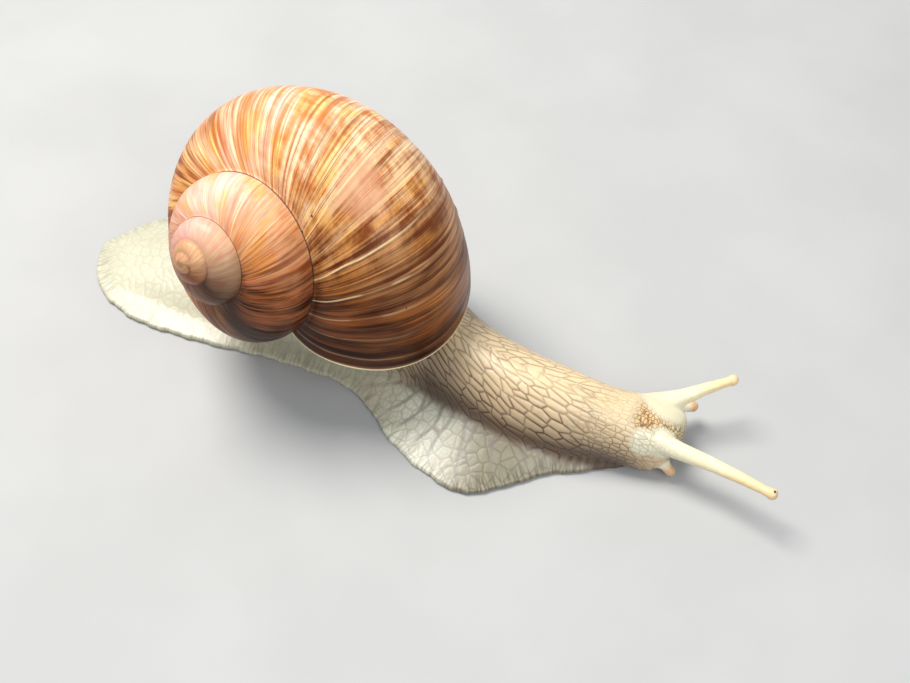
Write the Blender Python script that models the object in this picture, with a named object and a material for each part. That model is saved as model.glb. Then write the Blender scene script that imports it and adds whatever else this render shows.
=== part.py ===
"""A Roman snail, Helix pomatia, crawling: a still, life-size model in closed solids.

The body lies along X with the head at +X, the animal's left at +Y and its flat sole
at Z = 0. The origin is on the sole, under the middle of the foot. Sizes are in
millimetres and become metres where the meshes are made.
"""
import math

import bmesh
import bpy
import numpy as np
from mathutils import Euler, Vector

MM = 0.001
GAP = 0.3                 # clearance kept between neighbouring solids
ORIGIN_X = 44.0           # distance from the tail's end to the origin

# ---- shell: a coil whose oval tube grows as it turns about the shell's axis ----
SHELL_WIDTH = 40.0
WHORL_GROWTH = 1.986      # growth of the tube in one turn
TUBE_CENTRE = 0.4555      # distance of the tube's centre from the axis, over the radius
TUBE_ASPECT = 1.153       # height of the tube over its width
SPIRE_DROP = 1.201        # drop of the tube's centre below the apex, over the radius
SPIRE_DOME = 1.108        # above 1 the spire is domed, below 1 it is hollow
TUBE_TILT = -0.665        # lean of the tube's oval, radians
TUBE_SQUARENESS = 0.917   # 1 is an ellipse, less is fuller
TUBE_CROWN = 1.081        # extra height of the tube's upper half
TURNS = 4.25
STEPS_PER_TURN = 40
WALL_POINTS = 7           # from one suture to the next
BASE_POINTS = 11          # from the suture to the navel
PALATE_POINTS = 5         # of those, the ones along the mouth's inner wall
NAVEL_RADIUS = 0.9
NUCLEUS_DROP = 0.3        # the first bud of the coil lies this far below the spire's point
NUCLEUS_STEPS = 10        # steps in which the bud grows to the tube's size
LIP_LEAN = (0.786, -1.0, -0.475)     # direction that the shell's mouth faces
LIP_FLARE = 0.9           # how far the lip turns outwards on its free side
FLARE_SHARE = 0.12        # share of the last turn in which it does
LIP_WALL = 0.8
MOUTH_DEPTH = 2.5
SHELL_APEX = (30.7, -19.8, 27.2)     # measured from the tail's end
SHELL_TURN = (58.72, 41.4, -38.64)   # degrees about X, Y and Z
SHELL_RADIUS = SHELL_WIDTH / (1 + WHORL_GROWTH ** -0.5)
GROWTH_RATE = math.log(WHORL_GROWTH) / (2 * math.pi)

# ---- foot and back: (distance from the tail's end, value) ----
FOOT_LEFT = [(-0.1, -1.6), (1.0, 0.6), (4.2, 5.6), (9, 9.2), (17, 11.2), (28, 12.0), (40, 12.0),
             (49, 11.4), (56, 9.9), (62, 8.3), (68, 7.4), (80, 6.2), (85, 4.6), (87.6, 2.0)]
FOOT_RIGHT = [(-0.1, 3.0), (1.2, 5.9), (4.3, 9.6), (8.7, 11.8), (14, 12.8), (23, 12.1), (35, 10.3),
              (44, 9.8), (49.2, 11.3), (55.4, 15.3), (61, 17.7), (66.8, 18.8), (71.7, 15.8),
              (75.6, 11.8), (81, 8.3), (86, 4.7), (87.6, 3.2)]
SHOULDER_Z = [(-0.1, 0.7), (5, 1.2), (12, 1.6), (25, 2.1), (40, 2.4), (62, 2.4), (76, 2.1), (90.5, 1.8)]
RIDGE_Z = [(-0.1, 0.85), (1.5, 1.5), (5, 2.5), (10, 3.6), (18, 5.1), (26, 6.6), (34, 8.4), (40, 12.0),
           (46, 15.0), (52, 14.5), (57, 11.6), (61, 11.2), (66, 11.0), (71, 10.6), (77, 9.7),
           (82, 8.7), (86, 7.8), (88.2, 7.0), (89.8, 5.8), (90.5, 4.5)]
RIDGE_Y = [(-0.1, -2.3), (4, -1.4), (12, -0.2), (24, 0.2), (40, 0.9), (50, 0.8), (56, -0.6), (60, -2.1),
           (65, -3.3), (70, -3.8), (76, -3.4), (81, -2.55), (86, -1.3), (90.5, -0.6)]
RIDGE_HALF = [(-0.1, 0.5), (1.5, 3.0), (4, 6.0), (9, 8.0), (18, 8.8), (28, 8.0), (40, 7.4), (52, 7.2),
              (58, 6.4), (64, 5.9), (70, 5.8), (76, 5.3), (81, 4.7), (85.5, 5.1), (88.2, 4.9),
              (89.8, 3.9), (90.5, 2.3)]
EDGE_THICK = 0.9
EDGE_ROUND = 0.35
CHIN_RISE = 1.6           # how far the head's underside lifts in front of the foot
RIDGE_POWER = 2.3         # fullness of the arched back
FOOT_START = -0.1
TAIL_END = 20.0
MIDDLE_END = 38.0
FOOT_END = 87.6
BACK_END = 57.6
NECK_SPLIT = 70.0
NECK_END = 81.0
HEAD_END = 90.5
MOUTH_AT = (89.1, -0.5, 2.0)
MOUTH_SIZE = (1.2, 2.6, 1.2)

# ---- feelers: centre line as (x, y, z, radius) from the root inside the head ----
UPPER_RIGHT = [(84.6, -3.0, 4.9, 1.7), (87.2, -3.5, 5.3, 1.5), (90.5, -3.9, 5.6, 1.25),
               (95.0, -4.2, 5.8, 1.0), (99.2, -4.9, 6.2, 0.78), (101.9, -5.5, 6.5, 0.64)]
UPPER_LEFT = [(84.2, 0.6, 5.0, 2.0), (86.6, 2.1, 5.6, 1.7), (88.6, 3.8, 6.2, 1.2), (90.6, 5.6, 6.8, 0.85),
              (92.7, 7.4, 7.3, 0.66)]
LOWER_RIGHT = [(86.6, -3.4, 3.4, 0.85), (88.2, -3.95, 2.8, 0.85), (89.4, -4.25, 2.2, 0.74)]
LOWER_LEFT = [(86.8, 2.8, 3.5, 0.85), (88.2, 4.1, 3.3, 0.82), (89.0, 4.8, 3.1, 0.72)]
UPPER_KNOB = 0.8          # radius of the round end that carries the eye
LOWER_KNOB = 0.74
EYE_RADIUS = 0.25
EYE_GAP = 0.1
EYE_OUT = 0.72            # how far the eye sits from the knob's centre, over its radius


# ------------------------------------------------------------------ small tools
def along(stations, x):
    """Value at x of a smooth line through stations, with no overshoot between them."""
    place, value = np.array(stations, dtype=float).T
    step = np.diff(place)
    rise = np.diff(value) / step
    slope = np.concatenate([rise[:1], np.zeros(len(rise) - 1), rise[-1:]])
    for k in range(1, len(rise)):
        if rise[k - 1] * rise[k] > 0:
            slope[k] = 2 * rise[k - 1] * rise[k] / (rise[k - 1] + rise[k])
    k = int(np.clip(np.searchsorted(place, x) - 1, 0, len(step) - 1))
    t = (x - place[k]) / step[k]
    return ((2 * t**3 - 3 * t**2 + 1) * value[k] + (t**3 - 2 * t**2 + t) * step[k] * slope[k]
            + (3 * t**2 - 2 * t**3) * value[k + 1] + (t**3 - t**2) * step[k] * slope[k + 1])


def stops(start, end, pitch, ease_start=False, ease_end=False):
    """Places from start to end about pitch apart, closer together at an eased end."""
    count = max(2, round(abs(end - start) / pitch)) + 2 * (ease_start + ease_end)
    t = np.linspace(0, 1, count + 1)
    if ease_start:
        t = 1 - np.sin((1 - t) * math.pi / 2)
    if ease_end:
        t = np.sin(t * math.pi / 2)
    return start + (end - start) * t


def material(name, color, roughness):
    made = bpy.data.materials.new(name)
    made.use_nodes = True
    shader = made.node_tree.nodes["Principled BSDF"]
    shader.inputs["Base Color"].default_value = (*color, 1.0)
    shader.inputs["Roughness"].default_value = roughness
    shader.inputs["Metallic"].default_value = 0.0
    return made


def solid(name, points, faces, collection, finish=None):
    """A closed object from points in millimetres."""
    mesh = bpy.data.meshes.new(name)
    mesh.from_pydata([Vector(p) * MM for p in points], [], faces)
    shell = bmesh.new()
    shell.from_mesh(mesh)
    bmesh.ops.remove_doubles(shell, verts=shell.verts, dist=0.002 * MM)
    bmesh.ops.dissolve_degenerate(shell, edges=shell.edges, dist=0.002 * MM)
    bmesh.ops.recalc_face_normals(shell, faces=shell.faces)
    shell.to_mesh(mesh)
    shell.free()
    made = bpy.data.objects.new(name, mesh)
    collection.objects.link(made)
    if finish:
        mesh.materials.append(finish)
    else:
        made.hide_render = True
        made.display_type = "WIRE"
    return made


def loft(name, rings, collection, finish=None):
    """Skin over equal rings of points, closed with a flat face at each end."""
    count = len(rings[0])
    points = [p for ring in rings for p in ring]
    faces = []
    for k in range(len(rings) - 1):
        for i in range(count):
            j = (i + 1) % count
            faces.append((k * count + i, k * count + j, (k + 1) * count + j, (k + 1) * count + i))
    faces.append(tuple(range(count)))
    faces.append(tuple((len(rings) - 1) * count + i for i in range(count)))
    return solid(name, points, faces, collection, finish)


def cut(piece, cutter):
    """Take the cutter's space out of the piece."""
    trim = piece.modifiers.new(cutter.name, "BOOLEAN")
    trim.operation = "DIFFERENCE"
    trim.solver = "EXACT"
    trim.object = cutter


# ------------------------------------------------------------------ shell
def tube_size(turn):
    """Scale of the tube at a turn angle, 1 at the lip and smaller towards the apex."""
    return math.exp(GROWTH_RATE * turn)


def tube_point(turn, phi, grow=0.0):
    """Distance from the axis and height of the tube's wall; phi is 0 at its outer side."""
    size = tube_size(turn)
    centre = TUBE_CENTRE * SHELL_RADIUS
    wide = SHELL_RADIUS - centre
    tall = wide * TUBE_ASPECT
    c, s = math.cos(phi), math.sin(phi)
    across = wide * math.copysign(abs(c) ** TUBE_SQUARENESS, c)
    up = tall * math.copysign(abs(s) ** TUBE_SQUARENESS, s) * (TUBE_CROWN if s > 0 else 1.0)
    across *= 1 + grow / (wide * size)
    up *= 1 + grow / (tall * size)
    out = centre + across * math.cos(TUBE_TILT) - up * math.sin(TUBE_TILT)
    rise = across * math.sin(TUBE_TILT) + up * math.cos(TUBE_TILT)
    return out * size, rise * size - SPIRE_DROP * SHELL_RADIUS * size ** SPIRE_DOME


def wall_angle(turn, out, height):
    """The phi at which the tube at this turn passes the given point, and how far outside it is."""
    size = tube_size(turn)
    centre = TUBE_CENTRE * SHELL_RADIUS
    wide = SHELL_RADIUS - centre
    tall = wide * TUBE_ASPECT
    u = out / size - centre
    v = (height + SPIRE_DROP * SHELL_RADIUS * size ** SPIRE_DOME) / size
    across = (u * math.cos(TUBE_TILT) + v * math.sin(TUBE_TILT)) / wide
    up = (v * math.cos(TUBE_TILT) - u * math.sin(TUBE_TILT)) / tall
    up /= TUBE_CROWN if up > 0 else 1.0
    power = 1 / TUBE_SQUARENESS
    c = math.copysign(abs(across) ** power, across)
    s = math.copysign(abs(up) ** power, up)
    return math.atan2(s, c), c * c + s * s - 1


def suture(turn):
    """The phi where a whorl leaves the whorl before it, or the axis in the first turn."""
    first = turn < -2 * math.pi * (TURNS - 1) - 0.01
    low, step = 0.2, 0.02
    phi = low
    while phi < math.pi * 1.4:
        out, height = tube_point(turn, phi + step)
        if out <= 0 or (not first and wall_angle(turn - 2 * math.pi, out, height)[1] <= 0):
            break
        phi += step
    for _ in range(12):
        step /= 2
        out, height = tube_point(turn, phi + step)
        if out > 0 and (first or wall_angle(turn - 2 * math.pi, out, height)[1] > 0):
            phi += step
    return phi


def navel(turn):
    """The phi where the base of a whorl meets the navel."""
    phi = -1.2
    while tube_point(turn, phi)[0] > NAVEL_RADIUS * (0.4 + 0.6 * tube_size(turn)):
        phi -= 0.01
    return phi


def lip_lag(phi, top):
    """Angle by which the lip trails the suture, so that the mouth lies in one plane."""
    out_top, high_top = tube_point(0, top)
    lag = 0.0
    for _ in range(30):
        out, height = tube_point(lag, max(phi, -1.2))
        off = (out * math.sin(lag) * -LIP_LEAN[1] + LIP_LEAN[2] * (height - high_top)
               + LIP_LEAN[0] * (out * math.cos(lag) - out_top))
        lag = min(0.2, max(-1.6, lag - 0.6 * off / out))
    return lag


def lip_flare(steps, phi):
    """How far the wall turns outwards near the lip, steps after the last turn began."""
    near = max(0.0, 1 - (1 - steps / STEPS_PER_TURN) / FLARE_SHARE)
    side = min(1.0, max(0.0, (1.2 - phi) / 1.5))
    return LIP_FLARE * near * near * side * side * (3 - 2 * side)


def shell_columns(grow=0.0, ahead=0.0):
    """Columns of points down the wall, one column at each step of the coil."""
    total = round(TURNS * STEPS_PER_TURN)
    last = total - STEPS_PER_TURN
    step = 2 * math.pi / STEPS_PER_TURN
    mouth_top = suture(0)
    pole = grow - NUCLEUS_DROP
    columns = []
    for k in range(total + 1):
        turn = (k - total) * step
        top = suture(turn)
        if k <= last:
            turn_on = turn + 2 * math.pi
            foot = wall_angle(turn, *tube_point(turn_on, suture(turn_on)))[0]
            spans = list(np.linspace(top, foot, WALL_POINTS + 1))
            if k == last:
                spans += list(np.linspace(foot, navel(turn), BASE_POINTS + 1))[1:]
        else:
            spans = list(np.linspace(top, navel(turn), WALL_POINTS + BASE_POINTS + 1))
        share = min(1.0, max(0.0, (k - last) / STEPS_PER_TURN))
        share = share * share * (3 - 2 * share)
        column = []
        for phi in spans:
            lag = share * lip_lag(phi, mouth_top) if share else 0.0
            turned = turn + lag + ahead * share
            out, height = tube_point(turned, phi, grow + lip_flare(k - last, phi))
            bud = min(1.0, k / NUCLEUS_STEPS)
            if k < STEPS_PER_TURN and phi == top:
                bud = 0.0
            out = max(out, 0.0) * bud
            height = pole + (height - pole) * bud
            column.append((out * math.cos(-turned), out * math.sin(-turned), height))
        columns.append(column)
    return columns, last


def shell_mesh(grow=0.0, ahead=0.0):
    """Points and faces of the coil, closed at the navel and across the mouth."""
    columns, last = shell_columns(grow, ahead)
    points, faces, index = [], [], []
    for k, column in enumerate(columns):
        row = []
        for i, point in enumerate(column):
            if k >= STEPS_PER_TURN and i == 0:
                row.append(index[k - STEPS_PER_TURN][WALL_POINTS])
                continue
            points.append(point)
            row.append(len(points) - 1)
        index.append(row)
    for k in range(len(columns) - 1):
        depth = WALL_POINTS if k < last else WALL_POINTS + BASE_POINTS
        for i in range(depth):
            faces.append((index[k][i], index[k + 1][i], index[k + 1][i + 1], index[k][i + 1]))
    lip = index[-1]
    inner = index[last][WALL_POINTS:]
    ring = [index[k][-1] for k in range(last, len(index))]
    middle = np.mean([points[i] for i in ring], axis=0)
    points.append((0.0, 0.0, middle[2]))
    hub = len(points) - 1
    faces += [(ring[k], ring[k + 1], hub) for k in range(len(ring) - 1)]
    loop = lip + [hub] + inner[::-1][:-1]
    middle = np.mean([points[i] for i in loop], axis=0)
    points.append(tuple(middle))
    centre = len(points) - 1
    faces += [(loop[k], loop[(k + 1) % len(loop)], centre) for k in range(len(loop))]
    mouth = lip[1:-1] + inner[1:PALATE_POINTS + 1][::-1]
    return points, faces, [points[i] for i in mouth], middle


def mouth_plug(name, inset, top, bottom, collection, finish=None):
    """A plug that follows the mouth's outline, from bottom inside it to top outside it."""
    _, _, loop, middle = shell_mesh()
    facing = np.array(LIP_LEAN) / np.linalg.norm(LIP_LEAN)
    rings = []
    for out, draw in ((bottom, 1.0), (bottom * 0.5, 0.4), (top - 0.5, 0.0), (top, 0.5)):
        ring = []
        for point in loop:
            spoke = np.array(point) - middle
            reach = np.linalg.norm(spoke)
            ring.append(middle + spoke * (1 - (inset + draw) / reach) + facing * out)
        rings.append(ring)
    points = [tuple(p) for ring in rings for p in ring]
    count = len(loop)
    points += [tuple(middle + facing * bottom), tuple(middle + facing * top)]
    faces = []
    for k in range(len(rings) - 1):
        for i in range(count):
            j = (i + 1) % count
            faces.append((k * count + i, k * count + j, (k + 1) * count + j, (k + 1) * count + i))
    for i in range(count):
        j = (i + 1) % count
        faces.append((j, i, len(points) - 2))
        faces.append(((len(rings) - 1) * count + i, (len(rings) - 1) * count + j, len(points) - 1))
    return solid(name, points, faces, collection, finish)


def place_shell(piece):
    """Set a piece of the shell at its place on the snail's back."""
    piece.location = (Vector(SHELL_APEX) - Vector((ORIGIN_X, 0, 0))) * MM
    piece.rotation_euler = Euler([math.radians(a) for a in SHELL_TURN])


# ------------------------------------------------------------------ flesh
def edge_points(x, side):
    """The rounded rim and the sloping skirt of the foot on one side, from the sole upwards."""
    rim = along(FOOT_LEFT, x) if side > 0 else -along(FOOT_RIGHT, x)
    thick = min(EDGE_THICK, along(SHOULDER_Z, x))
    valley = along(RIDGE_Y, x) + side * along(RIDGE_HALF, x)
    shoulder = along(SHOULDER_Z, x)
    start = rim - side * EDGE_ROUND
    points = [(rim - side * EDGE_ROUND, 0.0), (rim, thick * 0.45), (start, thick)]
    for t in (0.33, 0.67, 1.0):
        points.append((start + (valley - start) * t, thick + (shoulder - thick) * t ** 0.8))
    return points


def ridge_points(x, base, grow=0.0):
    """The arch of the back from its right side to its left, above the height base."""
    half = along(RIDGE_HALF, x) + grow
    tall = along(RIDGE_Z, x) - base + grow
    points = []
    for a in np.linspace(0, math.pi, 13):
        u = -math.copysign(abs(math.cos(a)) ** (2 / RIDGE_POWER), math.cos(a))
        v = math.sin(a) ** (2 / RIDGE_POWER)
        points.append((along(RIDGE_Y, x) + u * half, base + v * tall))
    return points


def ring_at(x, section):
    return [(x - ORIGIN_X, y, z) for y, z in section]


def foot_rings(start, end, pitch, arched, **ease):
    """Rings of the foot; arched ones carry the whole back, others stop at the shoulder."""
    rings = []
    for x in stops(start, end, pitch, **ease):
        right, left = edge_points(x, -1), edge_points(x, 1)
        shoulder = along(SHOULDER_Z, x)
        if arched:
            top = ridge_points(x, shoulder)[1:-1]
        else:
            mid, half = along(RIDGE_Y, x), along(RIDGE_HALF, x)
            top = [(mid + half * t, shoulder) for t in (-0.33, 0.33)]
        under = [(right[0][0] + (left[0][0] - right[0][0]) * t, 0.0) for t in (0.67, 0.33)]
        rings.append(ring_at(x, right + top + left[::-1] + under))
    return rings


def back_rings(start, end, pitch, grow=0.0, **ease):
    """Rings of the arched back and neck that stand on the foot."""
    rings = []
    for x in stops(start, end, pitch, **ease):
        base = along(SHOULDER_Z, x) + GAP - grow
        chin = max(0.0, (x - FOOT_END) / (HEAD_END - FOOT_END))
        base += CHIN_RISE * chin * chin
        arch = ridge_points(x, base, grow)
        mid, half = along(RIDGE_Y, x), along(RIDGE_HALF, x) + grow
        rings.append(ring_at(x, arch + [(mid + half * t, base) for t in (0.4, -0.4)]))
    return rings


def feeler(name, stations, knob, collection, finish):
    """A tapered feeler with a round end, as a mesh, and the place and direction of its end."""
    line = np.array(stations)
    path = [tuple(p) for p in line]
    tip, before = line[-1][:3], line[-2][:3]
    aim = (tip - before) / np.linalg.norm(tip - before)
    centre = tip + aim * knob * 1.4
    for t in (-60, -25, 10, 40, 65, 82):
        spot = centre + aim * knob * math.sin(math.radians(t))
        path.append((*spot, knob * math.cos(math.radians(t)) if t > -60 else stations[-1][3] * 1.05))
    data = bpy.data.curves.new(name, "CURVE")
    data.dimensions = "3D"
    data.bevel_depth = MM
    data.bevel_resolution = 2
    data.use_fill_caps = True
    spline = data.splines.new("POLY")
    spline.points.add(len(path) - 1)
    for point, (x, y, z, radius) in zip(spline.points, path):
        point.co = ((x - ORIGIN_X) * MM, y * MM, z * MM, 1)
        point.radius = radius
    drawn = bpy.data.objects.new(name + "_line", data)
    collection.objects.link(drawn)
    seen = drawn.evaluated_get(bpy.context.evaluated_depsgraph_get())
    mesh = bpy.data.meshes.new_from_object(seen)
    bpy.data.objects.remove(drawn)
    weld = bmesh.new()
    weld.from_mesh(mesh)
    bmesh.ops.remove_doubles(weld, verts=weld.verts, dist=0.01 * MM)
    bmesh.ops.recalc_face_normals(weld, faces=weld.faces)
    weld.to_mesh(mesh)
    weld.free()
    mesh.name = name
    mesh.materials.clear()
    mesh.materials.append(finish)
    made = bpy.data.objects.new(name, mesh)
    collection.objects.link(made)
    return made, Vector(centre), Vector(aim)


def ball(name, centre, radius, collection, finish=None, stretch=(1.0, 1.0, 1.0)):
    """A small round solid centred at a place measured from the tail's end."""
    mesh = bpy.data.meshes.new(name)
    shape = bmesh.new()
    bmesh.ops.create_uvsphere(shape, u_segments=12, v_segments=8, radius=radius * MM)
    bmesh.ops.scale(shape, vec=stretch, verts=shape.verts)
    shape.to_mesh(mesh)
    shape.free()
    made = bpy.data.objects.new(name, mesh)
    made.location = (centre - Vector((ORIGIN_X, 0, 0))) * MM
    collection.objects.link(made)
    if finish:
        mesh.materials.append(finish)
    else:
        made.hide_render = True
        made.display_type = "WIRE"
    return made


# ------------------------------------------------------------------ the snail
def main():
    for old in list(bpy.data.objects):
        bpy.data.objects.remove(old)
    snail = bpy.data.collections.new("roman_snail")
    cutters = bpy.data.collections.new("cutters")
    bpy.context.scene.collection.children.link(snail)
    bpy.context.scene.collection.children.link(cutters)

    horn = material("shell_brown", (0.42, 0.20, 0.08), 0.3)
    ivory = material("foot_ivory", (0.80, 0.76, 0.62), 0.45)
    tan = material("neck_tan", (0.66, 0.55, 0.38), 0.45)
    pale = material("feeler_ivory", (0.84, 0.76, 0.55), 0.4)
    collar = material("mantle_cream", (0.72, 0.62, 0.42), 0.4)
    black = material("eye_black", (0.01, 0.01, 0.01), 0.15)

    # The shell, hollowed at its mouth for the mantle.
    points, faces, _, _ = shell_mesh()
    shell = solid("shell", points, faces, snail, horn)
    pocket = mouth_plug("mouth_pocket", LIP_WALL, 1.5, -MOUTH_DEPTH, cutters)
    mantle_room = mouth_plug("mantle_room", LIP_WALL, GAP, -MOUTH_DEPTH, cutters)
    mantle = mouth_plug("mantle_collar", LIP_WALL + 1.6 * GAP, -GAP, -MOUTH_DEPTH + GAP, snail, collar)
    points, faces, _, _ = shell_mesh(GAP, GAP / SHELL_RADIUS)
    shell_room = solid("shell_room", points, faces, cutters)
    for piece in (shell, pocket, mantle, mantle_room, shell_room):
        place_shell(piece)
    cut(shell, pocket)

    # The foot in three lengths, then the back, neck and head that stand on it.
    loft("tail", foot_rings(FOOT_START, TAIL_END, 3.0, True, ease_start=True), snail, ivory)
    middle = loft("foot_middle", foot_rings(TAIL_END + GAP, MIDDLE_END, 3.0, True), snail, ivory)
    loft("foot_front", foot_rings(MIDDLE_END + GAP, FOOT_END, 2.6, False, ease_end=True), snail, ivory)
    back = loft("back", back_rings(MIDDLE_END + GAP, BACK_END, 3.0), snail, tan)
    neck = loft("neck_rear", back_rings(BACK_END + GAP, NECK_SPLIT, 2.6), snail, tan)
    loft("neck_front", back_rings(NECK_SPLIT + GAP, NECK_END, 2.6), snail, tan)
    loft("head", back_rings(NECK_END + GAP, HEAD_END, 1.6, ease_end=True), snail, tan)
    for piece in (middle, back, neck):
        cut(piece, shell_room)
    cut(back, mantle_room)

    # Feelers grow from the head, which is left clear of their roots; the upper two carry the eyes.
    head_room = loft("head_room", back_rings(NECK_END - 2, HEAD_END, 1.6, GAP, ease_end=True), cutters)
    lips = ball("mouth", Vector(MOUTH_AT), 1.0, snail, tan, MOUTH_SIZE)
    cut(lips, head_room)
    for side, upper, lower in (("right", UPPER_RIGHT, LOWER_RIGHT), ("left", UPPER_LEFT, LOWER_LEFT)):
        stalk, centre, aim = feeler("upper_tentacle_" + side, upper, UPPER_KNOB, snail, pale)
        spot = centre + aim * UPPER_KNOB * EYE_OUT
        ball("eye_" + side, spot, EYE_RADIUS, snail, black)
        socket = ball("socket_" + side, spot, EYE_RADIUS + EYE_GAP, cutters)
        cut(stalk, head_room)
        cut(stalk, socket)
        short, _, _ = feeler("lower_tentacle_" + side, lower, LOWER_KNOB, snail, pale)
        cut(short, head_room)


main()
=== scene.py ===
"""The looks of a still, life-size Roman snail: its wet skin, its coiled shell, collar and eyes.

Lengths in this file are in millimetres, measured as in the solids: X from the tail's end
towards the head, Y towards the animal's left, Z up from the flat sole.
"""

import math
from functools import reduce

import bmesh
import bpy
import numpy as np
from mathutils import Euler, Matrix, Vector


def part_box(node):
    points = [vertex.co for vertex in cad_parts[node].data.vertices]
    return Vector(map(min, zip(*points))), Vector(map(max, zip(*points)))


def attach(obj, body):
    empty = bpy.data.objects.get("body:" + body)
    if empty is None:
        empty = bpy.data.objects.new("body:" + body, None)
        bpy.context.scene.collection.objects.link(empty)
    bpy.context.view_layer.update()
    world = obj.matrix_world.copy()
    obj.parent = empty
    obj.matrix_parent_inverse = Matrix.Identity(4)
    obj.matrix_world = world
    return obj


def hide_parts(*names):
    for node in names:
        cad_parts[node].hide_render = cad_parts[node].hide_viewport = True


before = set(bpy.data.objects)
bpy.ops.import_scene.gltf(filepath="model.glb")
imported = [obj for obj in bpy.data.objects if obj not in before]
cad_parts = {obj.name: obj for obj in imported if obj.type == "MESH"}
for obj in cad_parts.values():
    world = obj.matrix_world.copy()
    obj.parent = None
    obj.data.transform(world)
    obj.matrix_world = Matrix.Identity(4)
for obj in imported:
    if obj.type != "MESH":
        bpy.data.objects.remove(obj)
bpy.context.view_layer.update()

MM = 0.001
TAIL_TIP = -0.1           # where the body starts, measured from the tail's end
ORIGIN_X = TAIL_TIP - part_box("tail")[0].x / MM

# ---- shell: a coil whose oval tube grows as it turns about the shell's axis ----
SHELL_WIDTH = 40.0
WHORL_GROWTH = 1.986      # growth of the tube in one turn
TUBE_CENTRE = 0.4555      # distance of the tube's centre from the axis, over the radius
TUBE_ASPECT = 1.153       # height of the tube over its width
SPIRE_DROP = 1.201        # drop of the tube's centre below the apex, over the radius
SPIRE_DOME = 1.108        # above 1 the spire is domed, at 1 it is a straight cone
TUBE_TILT = -0.665
TUBE_SQUARENESS = 0.917   # 1 is an ellipse, less is fuller
TUBE_CROWN = 1.081        # extra height of the tube's upper half
TURNS = 4.25
STEPS_PER_TURN = 520
WALL_ROWS = 24            # from one suture to the next
BASE_ROWS = 42            # from the suture to the navel
PALATE_SHARE = 0.45       # share of those that line the mouth's inner wall
NAVEL_RADIUS = 0.9
NUCLEUS_DROP = 0.3        # the first bud of the coil lies this far below the spire's point
NUCLEUS_TURNS = 0.25      # turns in which the bud grows to the tube's size
BUD_TOP = -0.16           # height of the round bud round which the first turn winds
BUD_FALL = 0.42           # how steeply the bud rounds off
LIP_LEAN = (0.786, -1.0, -0.475)     # direction that the shell's mouth faces
LIP_FLARE = 0.9           # how far the lip turns outwards on its free side
FLARE_SHARE = 0.12        # share of the last turn in which it does
LIP_THICK = 0.42
MOUTH_DEPTH = 2.3         # of the shallow pocket behind the lip
SHELL_TURN = (58.72, 41.4, -38.64)   # degrees about X, Y and Z
SHELL_RADIUS = SHELL_WIDTH / (1 + WHORL_GROWTH ** -0.5)
GROWTH_RATE = math.log(WHORL_GROWTH) / (2 * math.pi)
TUBE_OUT = TUBE_CENTRE * SHELL_RADIUS     # distance of the tube's centre from the axis, at the lip
TUBE_HALF = SHELL_RADIUS - TUBE_OUT       # half its width there
TUBE_TALL = TUBE_HALF * TUBE_ASPECT       # and half its height
FACING = np.array(LIP_LEAN) / np.linalg.norm(LIP_LEAN)
WALL_HEIGHT = 27.0        # from the suture to the next, at the lip
FAR_OFF = 50.0            # stands for a seam or a lip that is nowhere near
# the rings that line the mouth: (distance inside the lip, distance out of the mouth)
MOUTH_RINGS = [(0.5 * LIP_THICK, 0.08), (LIP_THICK, -0.1), (LIP_THICK + 0.25, -0.8),
               (LIP_THICK + 0.45, -MOUTH_DEPTH)]
SHELL_SIZES = {
    "Radius": SHELL_RADIUS, "Growth rate": GROWTH_RATE, "Tube centre": TUBE_CENTRE,
    "Tube aspect": TUBE_ASPECT, "Spire drop": SPIRE_DROP, "Spire dome": SPIRE_DOME,
    "Tube tilt": TUBE_TILT, "Squareness": TUBE_SQUARENESS, "Crown": TUBE_CROWN,
    "Pole": -NUCLEUS_DROP, "Bud top": BUD_TOP, "Bud fall": BUD_FALL,
    "Line height": 0.075, "Rib height": 0.11, "Dent depth": 0.3}
# where growth rested and left a pale ridge: (radians back from the lip, strength)
GROWTH_RESTS = [(-0.1, 0.2), (-0.27, 0.16), (-0.45, 0.3), (-0.64, 0.75), (-0.895, 1.0), (-1.12, 0.35),
                (-1.355, 0.85), (-1.43, 0.7), (-1.62, 0.4), (-2.0, 0.35), (-2.55, 0.45), (-3.0, 0.4)]
FIRST_WHORLS = (-15.5, -7.0)    # turn, in radians, over which the marks of the grown shell set in
# colours along the coil: (age from the bud to the lip, palest, deepest); the whorls' own bands, with painted
# light on each whorl's top and painted shade, near black, on its side that faces down in the view
WHORL_TINTS_WITH_LIGHT_AND_SHADE = [
    (0.0, (186, 142, 104), (164, 118, 80)), (0.19, (200, 154, 116), (174, 128, 90)),
    (0.245, (225, 182, 140), (182, 126, 84)), (0.29, (160, 92, 52), (72, 40, 24)),
    (0.35, (188, 144, 122), (142, 102, 84)), (0.43, (236, 181, 162), (194, 145, 128)),
    (0.475, (216, 180, 144), (180, 124, 86)), (0.525, (80, 46, 28), (30, 16, 9)),
    (0.585, (186, 136, 104), (118, 70, 46)), (0.63, (222, 174, 142), (158, 100, 71)),
    (0.67, (245, 203, 184), (217, 169, 147)), (0.705, (230, 176, 128), (188, 110, 63)),
    (0.737, (180, 106, 63), (46, 17, 6)), (0.768, (44, 23, 10), (5, 3, 2)),
    (0.82, (222, 152, 84), (136, 66, 20)), (0.87, (217, 164, 102), (122, 56, 14)),
    (0.905, (245, 207, 180), (198, 133, 79)), (0.932, (232, 196, 154), (162, 88, 37)),
    (0.952, (198, 142, 90), (98, 45, 14)), (0.972, (130, 75, 40), (41, 14, 4)),
    (1.0, (38, 14, 5), (18, 5, 2))]
WORN_SPOT = (-1.26, 0.6, 0.19, 0.2)   # growth and share of the wall at its middle, then its reach in both

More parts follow.
